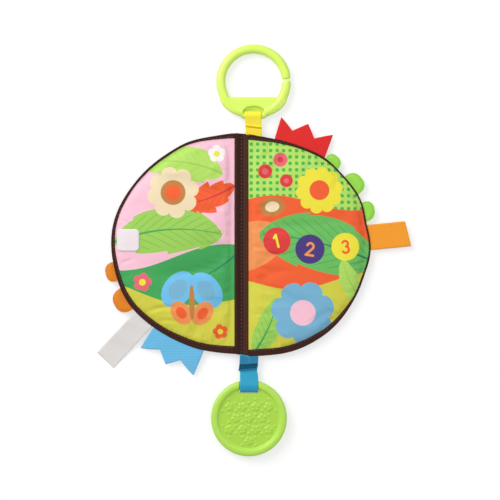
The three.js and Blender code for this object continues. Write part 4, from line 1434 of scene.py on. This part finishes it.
def seamFrame(side, degrees):
    # local x runs out from the seam, y along it, z up from the seam's height
    half = halves[side]
    point, out = edgePoint(half, degrees)
    turn = math.radians(degrees)
    bend = math.hypot(book["reach"] * math.sin(turn), book["halfHeight"] * math.cos(turn))
    roundness = bend**3 / (book["reach"] * book["halfHeight"])

    def fall(along):
        # how far the outline falls back beside the middle of the tab
        there = outlineReach(half, turn + half["sign"] * np.asarray(along, float) / bend)[0]
        return np.asarray(along) ** 2 / (2 * roundness) - (there - outlineReach(half, turn)[0])

    return {"point": point, "out": out, "side": np.array([-out[1], out[0]]), "fall": fall}


def seamMatrix(seam):
    (px, py), (ox, oy), (sx, sy) = seam["point"], seam["out"], seam["side"]
    up = book["edgeHeight"] * 0.001
    return Matrix(((ox, sx, 0, px * 0.001), (oy, sy, 0, py * 0.001), (0, 0, 1, up), (0, 0, 0, 1)))


def seamPoint(seam, outward, height=0):
    place = seam["point"] + seam["out"] * outward
    return tuple(v * 0.001 for v in (*place, book["edgeHeight"] + height))


def onSeam(seam, outward, along, height):
    # a place in millimetres from one in the seam's frame
    return (*(seam["point"] + seam["out"] * outward + seam["side"] * along), book["edgeHeight"] + height)


def joinSeam(piece, seam, node, bendTo=3.2):
    # puts a tab made in the seam's frame in place
    piece.data.transform(seamMatrix(seam))
    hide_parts(node)
    seamPoint(seam, -0.2)
    seamPoint(seam, bendTo)
    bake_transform(piece)
    return piece


# "cut" says where the cuts lie between the tips, "shift" and "tilt" how the tips lean along and out
crowns = [
    {"name": "red_crown", "side": "right", "degrees": 63.3, "material": "redFelt", "slot": "red_felt",
     "seed": 3, "width": 44.6, "tip": 20.3, "valley": 10.4, "cut": 0.43, "lean": 0.03,
     "shift": 1.6, "tilt": 0},
    {"name": "blue_crown", "side": "left", "degrees": -60.8, "material": "blueFelt", "slot": "blue_felt",
     "seed": 4, "width": 46.5, "tip": 22, "valley": 13.3, "cut": 0.39, "lean": 0.08,
     "shift": -0.6, "tilt": 1},
]
crownValues = {"cloth": 0.9, "slope": 0.035, "droop": 0.0012, "wave": 0.22, "waveLength": 24}
rootIn = 0.2  # where a tab starts outside the seam's own line


def addCrown(name, side, degrees, material, slot, seed, width, tip, valley, cut, lean, shift, tilt):
    seam = seamFrame(side, degrees)
    columns = np.linspace(-1, 1, 73)
    tooth = np.interp(np.abs(columns), [0, cut, 1], [1, 0, 1])
    rows = np.linspace(0, 1, 22)[:, None]
    spread = columns[None] * (1 + lean * rows) * width / 2 + shift * rows
    back = seam["fall"](spread)
    top = valley + (tip - valley) * tooth + tilt * columns
    outward = rootIn + (top[None] - rootIn) * rows - back
    away = outward + back
    waves = crownValues["wave"] * rolling(spread, outward, crownValues["waveLength"], seed) * rows
    height = waves - crownValues["slope"] * away - crownValues["droop"] * away**2
    grid = np.dstack([outward, spread, height])
    piece = sheetMesh(name + "_cloth", grid[:, ::-1], crownValues["cloth"], material)
    joinSeam(piece, seam, name)
    cutSize(grid)


for crown in crowns:
    addCrown(**crown)

scallopValues = {"rim": 0.42, "puff": 0.62, "groove": 1.15, "fullness": 0.75, "grooveDepth": 0.16}
scallops = [
    {"name": "green_scallop_1", "side": "right", "angle": 47, "width": 14.2, "height": 7.8},
    {"name": "green_scallop_2", "side": "right", "angle": 33, "width": 19.2, "height": 10.6},
    {"name": "green_scallop_3", "side": "right", "angle": 18.2, "width": 16.8, "height": 9.2},
    {"name": "orange_scallop_1", "side": "left", "angle": -14.8, "width": 16.8, "height": 8.4},
    {"name": "orange_scallop_2", "side": "left", "angle": -29.5, "width": 21, "height": 11},
]


def addScallop(name, side, angle, width, height):
    seam = seamFrame(side, angle)
    fall = seam["fall"]
    colour = name.split("_")[0]
    turn = np.linspace(0, math.pi, 60)
    across = -np.sign(np.cos(turn)) * np.abs(np.cos(turn)) ** scallopValues["fullness"] * width / 2
    outward = rootIn + (height - rootIn) * np.sin(turn) ** scallopValues["fullness"] - fall(across)
    dome = np.stack([outward, across], axis=1)
    base = np.linspace(width / 2, -width / 2, 24)[1:-1]
    rim = np.vstack([dome, np.stack([rootIn - fall(base), base], axis=1)])[::-1]

    def top(x, y, inset, place):
        seamIn = np.where(x + fall(y) < 1.6, 0, inset)  # flat where it enters the seam
        fromGroove = (seamIn - scallopValues["groove"]) / 0.35
        groove = scallopValues["grooveDepth"] * np.exp(-(fromGroove**2))
        round_ = scallopValues["rim"] * np.sqrt(np.clip(inset / 0.5, 0.05, 1))
        return round_ + scallopValues["puff"] * swell(seamIn, scallopValues["groove"], 3.2, 1) - groove

    piece = padMesh(name + "_pad", rim, 0.75, top, lambda *a: -top(*a), f"{colour}Satin")
    del piece["rimCount"], piece["sideCount"]
    joinSeam(piece, seam, name, 2.6)
    # a row of stitches in the groove
    tangent = np.gradient(dome, axis=0)
    normal = np.stack([-tangent[:, 1], tangent[:, 0]], axis=1)
    normal /= np.linalg.norm(normal, axis=1, keepdims=True)
    normal *= np.sign((([height * 0.4, 0] - dome) * normal).sum(1))[:, None]
    line = dome + normal * scallopValues["groove"]
    line = line[(line[:, 0] + fall(line[:, 1])) > 2.4]
    sewn = [onSeam(seam, o, a, 0.36) for o, a in line]
    thread = f"{colour}Thread"
    addStitches(name + "_stitches", [sewn], thread, f"{name}_tab", pitch=1.7, length=1.3, radius=0.13)


for scallop in scallops:
    addScallop(**scallop)

# the label lies folded in two, "gap" either way from its middle, and droops to the table by "drop"
labelValues = {
    "degrees": -42.3, "width": 19.2, "length": 48, "drop": 4.28, "run": 40, "gap": 0.15, "cloth": 0.2,
}


def addLabel():
    seam = seamFrame("left", labelValues["degrees"])
    length, gap = labelValues["length"], labelValues["gap"]
    out = np.linspace(rootIn, length, 60)
    share = np.clip(out / labelValues["run"], 0, 1)
    sink = -labelValues["drop"] * (smoothStep(share) * 0.55 + share * 0.45)
    path = [*zip(out, sink + gap), (length + 0.1, sink[-1]), *zip(out[::-1], sink[::-1] - gap)]
    across = np.linspace(-1, 1, 17) * labelValues["width"] / 2
    curl = 0.2 * (across / labelValues["width"] * 2) ** 2
    grid = np.array([[[o, a, z + c * min(1, o / 12)] for a, c in zip(across, curl)] for o, z in path])
    waves = 0.1 * np.sin(grid[..., 0] * 0.35 + grid[..., 1] * 0.2)
    grid[..., 2] += waves * np.clip(grid[..., 0] / 10, 0, 1)
    grid[..., 0] -= seam["fall"](grid[..., 1]) * np.clip(1 - grid[..., 0] / 10, 0, 1)
    piece = sheetMesh("label_cloth", grid, labelValues["cloth"], "label")
    joinSeam(piece, seam, "care_label")
    cutSize(grid)


addLabel()
print("tabs made")

# Closing strap, its hook patch and the loop patch

strapValues = {
    "degrees": 4.9, "width": 21, "length": 32.8, "slant": 3, "thickness": 0.78, "fold": 17.35,
    "bend": 2.6, "hem": 1.5, "boxFrom": 19.4, "boxToEnd": 3.4, "seamRow": 2.1,
}
hookValues = {
    "start": 19.5, "length": 12, "width": 17.2, "height": -0.95, "thickness": 0.4, "rows": 12, "edge": 0.5,
}


def addStrap():
    seam = seamFrame("right", strapValues["degrees"])
    half = strapValues["width"] / 2
    across = np.linspace(-1, 1, 31) * half
    share = np.linspace(0, 1, 64)[:, None]
    ends = strapValues["length"] - strapValues["slant"] * across / strapValues["width"]
    root = rootIn - seam["fall"](across)
    outward = root[None] + (ends - root)[None] * share
    spread = np.broadcast_to(across[None], outward.shape)
    edge = np.clip((np.abs(spread) - half + 1.3) / 1.3, 0, 1)
    height = 0.1 * rolling(outward, spread, 28, 9) * share - 0.14 * edge**2
    grid = np.dstack([outward, spread, height])
    piece = sheetMesh("strap_tape", grid[:, ::-1], strapValues["thickness"], "orangeStrap")
    piece.data.transform(seamMatrix(seam))
    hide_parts("strap_root", "strap_tip")
    first, last = (seamPoint(seam, strapValues["fold"] + way * strapValues["bend"]) for way in (-1, 1))
    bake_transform(piece)
    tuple(first)
    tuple(last)

    # a stitched box at the end, and one row at the seam
    wide = half - strapValues["hem"]
    sides = np.linspace(-wide, wide, 20)
    start, stop = strapValues["boxFrom"], strapValues["length"] - strapValues["boxToEnd"]
    box = [[onSeam(seam, o, a, 0.36) for o in np.linspace(start, stop, 20)] for a in (-wide, wide)]
    box += [[onSeam(seam, o, a, 0.36) for a in sides] for o in (start, stop)]
    thread = {"pitch": 2.2, "length": 1.7, "radius": 0.14}
    addStitches("strap_stitches", box, "orangeThread", "strap_end", **thread)
    seamRow = [onSeam(seam, strapValues["seamRow"], a, 0.38) for a in sides]
    addStitches("strap_seam_stitches", [seamRow], "orangeThread", "strap", **thread)

    first, length, width = hookValues["start"], hookValues["length"], hookValues["width"]
    along = np.linspace(first, first + length, 14)
    outward, spread = np.meshgrid(along, np.linspace(-1, 1, 18) * width / 2, indexing="ij")
    grid = np.dstack([outward, spread, 0 * outward + hookValues["height"]])
    hooks = sheetMesh("hook_tape", grid[:, ::-1], hookValues["thickness"], "hooks")
    hooks.data.transform(seamMatrix(seam))
    standFor(hooks, "hook_patch", "strap_end")
    sides = np.linspace(hookValues["edge"] - width / 2, width / 2 - hookValues["edge"], 24)
    places = np.linspace(first + 0.5, first + length - 0.5, hookValues["rows"])
    rows = [[onSeam(seam, o, a, -1.22) for a in sides] for o in places]
    addStitches("hook_rows", rows, "hooks", "strap_end", pitch=0.9, length=0.55, radius=0.11)


addStrap()

patchValues = {
    "x": -96.25, "y": 3.6, "length": 19.5, "width": 19, "corner": 3.4, "rise": 0.64,
    "stitchShare": 0.87, "tufts": 900, "seed": 12,
}


def addLoopPatch():
    middle = np.array([patchValues["x"], patchValues["y"]])
    w, h, c = patchValues["length"] / 2, patchValues["width"] / 2, patchValues["corner"]
    rim = []
    for x, y, first in ((w - c, h - c, 0), (-w + c, h - c, 90), (-w + c, -h + c, 180), (w - c, -h + c, 270)):
        for turn in range(first, first + 91, 15):
            rim.append((x + c * math.cos(math.radians(turn)), y + c * math.sin(math.radians(turn))))
    rim = np.array(rim) + middle

    def bottom(x, y, inset, place):
        return np.array([surfaceHeight(covers["left"], a, b) or 5.5 for a, b in zip(x, y)]) + 0.12

    def top(x, y, inset, place):
        loft = patchValues["rise"] * np.sqrt(np.clip(inset / 0.7, 0.04, 1))
        return bottom(x, y, inset, place) + 0.02 + loft

    patch = padMesh("loop_tape", rim, 0.9, top, bottom, "loops")
    standFor(patch, "loop_patch", "left_cover")
    size, area = outlineSize(rim)
    line, _ = evenly(middle + (rim - middle) * patchValues["stitchShare"], 80)
    row = [(x, y, surfaceHeight(patch, x, y) + 0.04) for x, y in [*line, line[0]]]
    addStitches("loop_tape_stitches", [row], "whiteThread", "left_cover", pitch=1.9, length=1.4, radius=0.12)
    # short tufts that lie every way
    random = np.random.default_rng(patchValues["seed"])
    tufts = []
    for _ in range(patchValues["tufts"]):
        x, y = middle + random.uniform(-1, 1, 2) * (w - 1.2, h - 1.2)
        turn = random.uniform(0, math.tau)
        z = surfaceHeight(patch, x, y)
        if z:
            tufts.append([(x, y, z), (x + 0.5 * math.cos(turn), y + 0.5 * math.sin(turn), z)])
    addStitches("loop_tufts", tufts, "whiteThread", "left_cover", pitch=0.45, length=0.7, radius=0.05)


addLoopPatch()
print("strap and patches made")

# Ribbons, ring and teether

# "crest" and "fold" are where the pleat at the root rises and ends, "skew" and "slant" how it leans
ribbonValues = {
    "hanging": {
        "x": 10.5, "root": 93.358, "way": 1, "length": 16.2, "stitched": 6.4, "bar": 3, "barHeight": 4,
        "reachOut": 3.62, "width": 13.7, "taper": 0.93, "drift": -0.8, "tuck": 1.8, "crest": 4.9, "fold": 7.2,
        "skew": -0.1, "slant": 0.13, "pinch": 0, "material": "yellowRibbon", "hem": "shadedYellowHem",
        "shade": "yellowRibbonPaintedShade", "slot": "yellow_ribbon",
    },
    "teether": {
        "x": 6.4, "root": -97.6, "way": -1, "length": 22, "stitched": 11, "bar": 3.3, "barHeight": 4.3,
        "reachOut": 6.1, "width": 15, "taper": 1, "drift": 0, "tuck": 4.2, "crest": 4.5, "fold": 8.6,
        "skew": 1.1, "slant": 0.1, "pinch": 0.9, "material": "blueRibbon", "hem": "shadedBlueHem",
        "shade": "blueRibbonPaintedShade", "slot": "blue_ribbon",
    },
}


def outlineY(x, way):
    # the book's outer edge above or below some x near the spine
    if abs(x) < book["innerEdge"]:
        return float(spineEnds(np.array([x]))[0 if way < 0 else 1][0])
    half = halves["right"]
    turn = way * math.acos(x / book["reach"])
    return half["shift"] + float(outlineReach(half, turn)[1]) * math.sin(turn)


def placeRibbon(profile, width, values):
    # a profile of (out, up) from the seam, drawn out to the ribbon's width
    tilt = math.asin((values["barHeight"] - book["edgeHeight"]) / values["length"])
    across = np.linspace(-1, 1, 19) * width / 2
    grid = np.empty((len(profile), len(across), 3))
    for row, (out, up) in enumerate(profile):
        share = min(1, max(0, out / values["length"]))
        narrowing = values["taper"] + (1 - values["taper"]) * share
        pinch = values["pinch"] * math.exp(-(((out - values["fold"] - 1) / 3) ** 2)) * (0.5 + across / width)
        grid[row, :, 0] = values["x"] + across * narrowing + values["drift"] * share - pinch
        grid[row, :, 1] = values["root"] + values["way"] * (out * math.cos(tilt) - up * math.sin(tilt))
        grid[row, :, 2] = book["edgeHeight"] + (out * math.sin(tilt) + up * math.cos(tilt))
    return grid


def loopProfile(values):
    # along the ribbon's upper leg, round the bar and back below
    radius = values["bar"] + 0.62
    length, stitched = values["length"], values["stitched"]
    first = math.pi / 2 + math.asin(radius / (length - stitched)) * 0.92
    arc = []
    for turn in np.linspace(first, -first, 36):
        reach = values["reachOut"] if math.cos(turn) > 0 else radius
        arc.append((length + reach * math.cos(turn), radius * math.sin(turn)))
    far, high = arc[0]
    leg = [(out, 0.3) for out in np.linspace(-values["tuck"], stitched, 14)]
    for share in np.linspace(0, 1, 10)[1:-1]:
        leg.append((stitched + (far - stitched) * share, 0.3 + (high - 0.3) * share**1.15))
    return leg + arc + [(out, -up) for out, up in leg[::-1]]


def pleatProfile(values):
    # over the pleat at the root: up to its crest, down, and over the fold that ends it
    crest, end = values["crest"], values["fold"]
    profile = [(out, 0.56 + 1.16 * (max(0, out) / crest) ** 0.8) for out in np.linspace(0, crest - 0.5, 14)]
    over = ((-0.25, 1.74), (0, 1.76), (0.22, 1.64), (0.42, 1.32), (0.6, 1.04))
    profile += [(crest + o, up) for o, up in over]
    profile += [(out, 0.95) for out in np.linspace(crest + 0.85, end - 0.6, 6)]
    last = ((-0.3, 1.1), (0, 1.18), (0.3, 1.06), (0.42, 0.84), (0.3, 0.66))
    return profile + [(end + o, up) for o, up in last]


def addRibbon(kind):
    values = ribbonValues[kind]
    middle, root, way, tuck = values["x"], values["root"], values["way"], values["tuck"]
    body = f"{kind}_loop"
    besideSpine = book["innerEdge"] + 0.2
    profile = loopProfile(values)
    grid = placeRibbon(profile, values["width"], values)
    # beside the spine strip it begins at the strip's end, elsewhere inside the seam
    x = grid[0, :, 0]
    start = np.array([way * (outlineY(a, way) - root) - 0.4 + tuck for a in x])
    start = np.where(x < besideSpine, np.maximum(start, 0), 0)
    toStitched = np.array([1 - (o + tuck) / (values["stitched"] + tuck) for o, _ in profile]).clip(0, 1)
    grid[..., 1] += way * start[None] * toStitched[:, None]
    grid = grid[:, ::-way]
    ribbon = sheetMesh(f"{kind}_ribbon_loop", grid, 0.52, values["material"])
    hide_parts(f"{kind}_ribbon")
    bend = [(middle, root + way * out, book["edgeHeight"]) for out in (-0.6, 3)]
    near, far = (tuple(v * 0.001 for v in place) for place in bend)
    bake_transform(ribbon)
    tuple(near)
    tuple(far)

    profile = pleatProfile(values)
    hemGrid = placeRibbon(profile, values["width"] + 0.4, values)
    weight = np.clip(np.array([o for o, _ in profile]) / values["fold"], 0, 1)
    hemGrid[..., 1] -= way * values["slant"] * (hemGrid[..., 0] - middle) * weight[:, None] ** 1.5
    # its root follows the book's edge: over the binding, and clear of the spine strip, which doesn't turn
    tucked = np.interp(hemGrid[0, :, 0], [besideSpine, besideSpine + 1], [-0.5, 0.7])
    gap = np.array([outlineY(x, way) - root - way * t for x, t in zip(hemGrid[0, :, 0], tucked)])
    hemGrid[..., 1] += gap[None] * (1 - weight[:, None]) ** 1.5
    hemGrid[..., 0] -= values["skew"] * weight[:, None] ** 2
    hemGrid = hemGrid[:, ::-way]
    hem = sheetMesh(f"{kind}_ribbon_hem", hemGrid, 0.5, values["hem"])
    # painted shade: the hollow behind the crest takes a darker copy of the ribbon's colour
    hem.data.materials.append(materials[values["shade"]])
    perRow = 2 * (hemGrid.shape[1] - 1)
    for face in hem.data.polygons:
        if 16 <= face.index // perRow < len(profile) - 5:
            face.material_index = 1
    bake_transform(hem)
    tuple(near)
    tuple(far)
    cutSize(grid)
    row = placeRibbon([(values["fold"] + 1.6, 0.64)], values["width"] - 1.6, values)[0]
    row[:, 1] -= way * values["slant"] * (row[:, 0] - middle)
    addStitches(f"{kind}_ribbon_stitches", [row], values["hem"], body, pitch=1.9, length=1.4, radius=0.13)


for kind in ribbonValues:
    addRibbon(kind)


def closedMesh(name, points, faces):
    # a closed shell with its doubles merged and its faces pointing out
    piece = rawMesh(name, points, faces)
    shell = bmesh.new()
    shell.from_mesh(piece.data)
    bmesh.ops.remove_doubles(shell, verts=shell.verts, dist=1e-6)
    bmesh.ops.recalc_face_normals(shell, faces=shell.faces)
    shell.to_mesh(piece.data)
    shell.free()
    return piece


def tubeFaces(rows, sides):
    # quads between rings of points, and a cap at either end
    faces = []
    for s in range(rows - 1):
        for k in range(sides):
            n = (k + 1) % sides
            faces.append((s * sides + k, (s + 1) * sides + k, (s + 1) * sides + n, s * sides + n))
    return faces + [tuple(range(sides)), tuple(range((rows - 1) * sides, rows * sides))[::-1]]


def sweepMesh(name, stations, sides=28):
    # a capped tube through stations of (centre, outward, up, radius)
    points = []
    for centre, outward, up, radius in stations:
        for k in range(sides):
            turn = math.tau * k / sides
            side = math.cos(turn) * np.array(outward) + math.sin(turn) * np.array(up)
            points.append(np.array(centre) + radius * side)
    return closedMesh(name, points, tubeFaces(len(stations), sides))


def fuse(name, parts, voxel, cutter=None, rounds=4):
    # joins closed shells into one moulded piece with soft inner corners
    shell = bmesh.new()
    for part in parts:
        shell.from_mesh(part.data)
        bpy.data.objects.remove(part)
    piece = rawMesh(name, [], [])
    shell.to_mesh(piece.data)
    shell.free()
    remesh = piece.modifiers.new("remesh", "REMESH")
    remesh.mode = "VOXEL"
    remesh.voxel_size = voxel * 0.001
    if cutter:
        cut = piece.modifiers.new("slot", "BOOLEAN")
        cut.operation = "DIFFERENCE"
        cut.object = cutter
        again = piece.modifiers.new("again", "REMESH")
        again.mode = "VOXEL"
        again.voxel_size = voxel * 0.001
    smooth = piece.modifiers.new("smooth", "SMOOTH")
    smooth.factor = 0.5
    smooth.iterations = rounds
    settle(piece)
    if cutter:
        bpy.data.objects.remove(cutter)
    return piece


def ellipsoid(centre, size, steps=10):
    points, faces = [(0, 0, 1)], []
    for r in range(1, steps):
        for k in range(2 * steps):
            a, b = math.pi * r / steps, math.pi * k / steps
            points.append((math.sin(a) * math.cos(b), math.sin(a) * math.sin(b), math.cos(a)))
    points.append((0, 0, -1))
    count = 2 * steps
    for k in range(count):
        n = (k + 1) % count
        faces.append((0, 1 + k, 1 + n))
        faces.append((len(points) - 1, len(points) - 1 - count + n, len(points) - 1 - count + k))
        for r in range(steps - 2):
            a = 1 + r * count
            faces.append((a + k, a + count + k, a + count + n, a + n))
    return np.array(points) * size + centre, faces


# "barReach" gives the moulded bar's outer reach in mm, by degrees from its middle
ringValues = {
    "centre": (10.3, 138.445, 4.0), "radius": 31.9, "tube": 4, "gap": 1.25, "gapAngle": 3.1,
    "barReach": [(0, 30.7), (14, 31), (32, 32.3), (50, 33), (60, 32.8), (65.5, 31.6)],
    "barHalf": 3.1, "lip": 3, "slotWidth": 18.4, "slotRise": 5,
    "floor": {"left": 8.1, "right": 7, "low": 0.85, "half": 0.7, "drop": 2.2}, "voxel": 0.42,
}


def prism(name, outline, half):
    count = len(outline)
    points = [(x, y, half) for x, y in outline] + [(x, y, -half) for x, y in outline]
    faces = [tuple(range(count)), tuple(range(2 * count - 1, count - 1, -1))]
    faces += [(k, k + count, (k + 1) % count + count, (k + 1) % count) for k in range(count)]
    return closedMesh(name, points, faces)


def placeMoulding(piece, finish, centre):
    piece.data.materials.clear()
    piece.data.materials.append(materials[finish])
    piece.data.transform(Matrix.Translation(Vector(centre) * 0.001))
    piece.data.shade_smooth()


def addRing():
    line = ringValues["radius"] - ringValues["tube"]
    first = math.radians(ringValues["gapAngle"]) + ringValues["gap"] / 2 / line
    sweep = math.tau - ringValues["gap"] / line
    stations = []
    for share in np.r_[0, 0.001, 0.003, 0.006, np.linspace(0.01, 0.99, 118), 0.994, 0.997, 0.999, 1]:
        turn = first + sweep * share
        end = min(share, 1 - share) * sweep * line
        radius = ringValues["tube"] * (0.74 + 0.26 * math.sqrt(min(1, end / 2.2)))
        out = (math.cos(turn), math.sin(turn), 0)
        stations.append(([line * out[0], line * out[1], 0], out, (0, 0, 1), radius))
    tube = sweepMesh("ring_tube", stations)

    # the bar is a plate with a softly rounded border
    border = []
    for turn in np.linspace(-65.5, 65.5, 80):
        reach = np.interp(abs(turn), *zip(*ringValues["barReach"]))
        border.append((reach * math.sin(math.radians(turn)), -reach * math.cos(math.radians(turn))))

    def top(x, y, inset, place):
        return ringValues["barHalf"] - 1.3 * (1 - np.clip(inset / 1.3, 0, 1)) ** 2

    bar = padMesh("ring_bar", np.array(border), 1.2, top, lambda *a: -top(*a), "limePlastic")
    low = -ringValues["radius"] + 2 * ringValues["lip"]
    w = ringValues["slotWidth"] / 2
    rise = ringValues["slotRise"]
    slot = [(-w, -40), (w, -40), (w, low)]
    slot += [(w * math.cos(t), low + rise * math.sin(t)) for t in np.linspace(0, math.pi, 30)[1:]]
    body = fuse("ring_body", [tube, bar], ringValues["voxel"], prism("slot", slot, 8), 3)
    lipY = -ringValues["radius"] + ringValues["lip"]
    stations = [
        ([x, lipY + 0.086 * max(0, abs(x) - 6.5) ** 2, 0], (0, 1, 0), (0, 0, 1), ringValues["lip"])
        for x in np.linspace(-w - 3, w + 3, 32)
    ]
    # a thin floor closes the part of the slot that the ribbon doesn't need
    floor = ringValues["floor"]
    high, middle = low + rise + 1, low + floor["low"]
    left, right = -floor["left"], floor["right"]
    outline = [(-w - 1, low - 1), (left, low - 1), (left, middle), (right, middle)]
    outline += [(right, low - 1), (w + 1, low - 1), (w + 1, high), (-w - 1, high)]
    plate = prism("slot_floor", outline, floor["half"])
    plate.data.transform(Matrix.Translation((0, 0, -floor["drop"] * 0.001)))
    ring = fuse("ring_moulding", [body, plate, sweepMesh("lip", stations)], ringValues["voxel"], None, 4)
    placeMoulding(ring, "limePlastic", ringValues["centre"])
    standFor(ring, "hanging_ring", "ring")


teetherValues = {
    "centre": (6.3, -147.597, 4.3), "radius": 32.3, "half": 4.3, "rim": 6.4, "web": 2,
    "neck": 3.3, "neckInset": 4.3, "slotWidth": 16.4, "slotHeight": 3.45, "pitch": 11.2,
    "petalReach": 2.4, "petal": (1.25, 1.25, 1.05), "heart": (0.8, 0.8, 1.05),
    "pearl": (0.95, 0.95, 0.85), "voxel": 0.42,
}


def teetherPlate(values, sides=160):
    # the rim and web, turned round the middle: (share of the rim's width, share of its rise)
    inner = values["radius"] - values["rim"]
    rise = values["half"] - values["web"]
    shares = [(0, 0), (0.06, 0.35), (0.14, 0.7), (0.26, 0.93), (0.4, 1)]
    shares += [(0.62, 1), (0.78, 0.9), (0.9, 0.7), (0.97, 0.42), (1, 0.1)]
    upper = [(0.01, values["web"])]
    upper += [(inner + a * values["rim"], values["web"] + b * rise) for a, b in shares]
    profile = upper + [(r, -z) for r, z in upper[::-1]]
    turns = [math.tau * k / sides for k in range(sides)]
    points = [(r * math.cos(t), r * math.sin(t), z) for r, z in profile for t in turns]
    return closedMesh("teether_plate", points, tubeFaces(len(profile), sides))


def teetherReliefs(values, highest):
    # rosettes in rows on both faces of the web, with pearls between them
    inner, pitch, petal = values["radius"] - values["rim"], values["pitch"], values["petalReach"]
    points, faces = [], []

    def add(x, y, size):
        for face in (1, -1):
            made, madeFaces = ellipsoid((x, y, face * values["web"]), values[size])
            first = len(points)
            points.extend(made.tolist())
            faces.extend(tuple(first + i for i in f) for f in madeFaces)

    for row in range(-3, 4):
        for column in range(-3, 4):
            x = (column + (row % 2) * 0.5) * pitch
            y = row * pitch * 0.866
            if math.hypot(x, y) < inner - 4 and y < highest - 4.4:
                for k in range(5):
                    turn = math.tau * k / 5 + 0.3 * row + 0.5 * column
                    add(x + petal * math.cos(turn), y + petal * math.sin(turn), "petal")
                add(x, y, "heart")
            for a, b in ((x + pitch / 2, y + pitch * 0.29), (x, y + pitch * 0.58)):
                if math.hypot(a, b) < inner - 1.8 and b < highest - 1.6:
                    add(a, b, "pearl")
    return rawMesh("reliefs", points, faces)


def addTeether():
    values = teetherValues
    neckY = values["radius"] - values["neckInset"]
    low = neckY - values["neck"] - values["slotHeight"]
    w = values["slotWidth"] / 2
    cutter = prism("slot", [(-w, low), (w, low), (w, 40), (-w, 40)], 9)
    parts = [teetherPlate(values), teetherReliefs(values, low)]
    body = fuse("teether_body", parts, values["voxel"], cutter, 2)
    stations = [
        ([x, neckY - 0.08 * max(0, abs(x) - 7) ** 2, 0], (0, 1, 0), (0, 0, 1), values["neck"])
        for x in np.linspace(-w - 3, w + 3, 32)
    ]
    teether = fuse("teether_moulding", [body, sweepMesh("neck", stations)], values["voxel"], None, 3)
    placeMoulding(teether, "teetherPlastic", values["centre"])
    standFor(teether, "teether_disc", "teether")


addRing()
addTeether()
print("ribbons, ring and teether made")

stageValues = {
    "view": {"x": 7.2, "y": -4.7, "width": 425, "lens": 100, "height": 5},
    "paper": 0.93,
    "paperGlow": 0.24,  # added for the camera alone, so that the paper shows white
    "paperSolid": 0.6,
    "worldLight": 0.44,
    "lamps": [
        {"place": (-0.8, 0.72, 0.8), "size": 1.0, "power": 13.8},
        {"place": (0.7, 0.1, 0.9), "size": 0.9, "power": 2.6},
    ],
}


def addCamera():
    view = stageValues["view"]
    camera = bpy.data.cameras.new("camera")
    camera.lens = view["lens"]
    camera.sensor_width = 36
    holder = addObject("camera", camera)
    distance = view["width"] / 2 / (camera.sensor_width / 2 / view["lens"])
    holder.location = (view["x"] * 0.001, view["y"] * 0.001, (view["height"] + distance) * 0.001)
    bpy.context.scene.camera = holder


def addFloor():
    bpy.ops.mesh.primitive_plane_add(size=6, location=(0, 0, -0.0002))
    floor = bpy.context.object
    floor.name = "floor"
    paper = bpy.data.materials.new("paper")
    paper.use_nodes = True
    tree = paper.node_tree
    principled = tree.nodes["Principled BSDF"]
    principled.inputs["Base Color"].default_value = (*[stageValues["paper"]] * 3, 1)
    principled.inputs["Roughness"].default_value = 0.9
    principled.inputs["Emission Color"].default_value = (1, 1, 1, 1)
    rays = tree.nodes.new("ShaderNodeLightPath")
    seen = Flow(tree, rays.outputs["Is Camera Ray"])
    tree.links.new((seen * stageValues["paperGlow"]).socket, principled.inputs["Emission Strength"])
    clear = tree.nodes.new("ShaderNodeBsdfTransparent")
    mix = tree.nodes.new("ShaderNodeMixShader")
    back = Flow(tree, tree.nodes.new("ShaderNodeNewGeometry").outputs["Backfacing"])
    # partly solid to the camera and clear from below, so that what hangs below the table stays in sight
    tree.links.new(back.do("MAXIMUM", 1 - seen * stageValues["paperSolid"]).socket, mix.inputs[0])
    tree.links.new(principled.outputs[0], mix.inputs[1])
    tree.links.new(clear.outputs[0], mix.inputs[2])
    tree.links.new(mix.outputs[0], tree.nodes["Material Output"].inputs[0])
    floor.data.materials.append(paper)


def addLight():
    world = bpy.data.worlds.new("studio")
    world.use_nodes = True
    tree = world.node_tree
    background = tree.nodes["Background"]
    background.inputs[0].default_value = (1, 1, 1, 1)
    # white where it is seen or mirrored, and dimmer as a light
    rays = tree.nodes.new("ShaderNodeLightPath")
    kinds = ("Camera", "Glossy", "Transmission")
    seen, glossy, through = (Flow(tree, rays.outputs[f"Is {kind} Ray"]) for kind in kinds)
    direct = seen.do("MAXIMUM", glossy).do("MAXIMUM", through)
    level = direct * (1 - stageValues["worldLight"]) + stageValues["worldLight"]
    tree.links.new(level.socket, background.inputs[1])
    bpy.context.scene.world = world
    for number, lamp in enumerate(stageValues["lamps"]):
        light = bpy.data.lights.new(f"lamp{number}", "AREA")
        light.energy = lamp["power"]
        light.size = lamp["size"]
        holder = addObject(f"lamp{number}", light)
        holder.location = lamp["place"]
        holder.rotation_mode = "QUATERNION"
        holder.rotation_quaternion = (-Vector(lamp["place"])).to_track_quat("-Z", "Y")


addCamera()
addFloor()
addLight()
bpy.context.scene.view_settings.view_transform = "Standard"
print("scene ready")
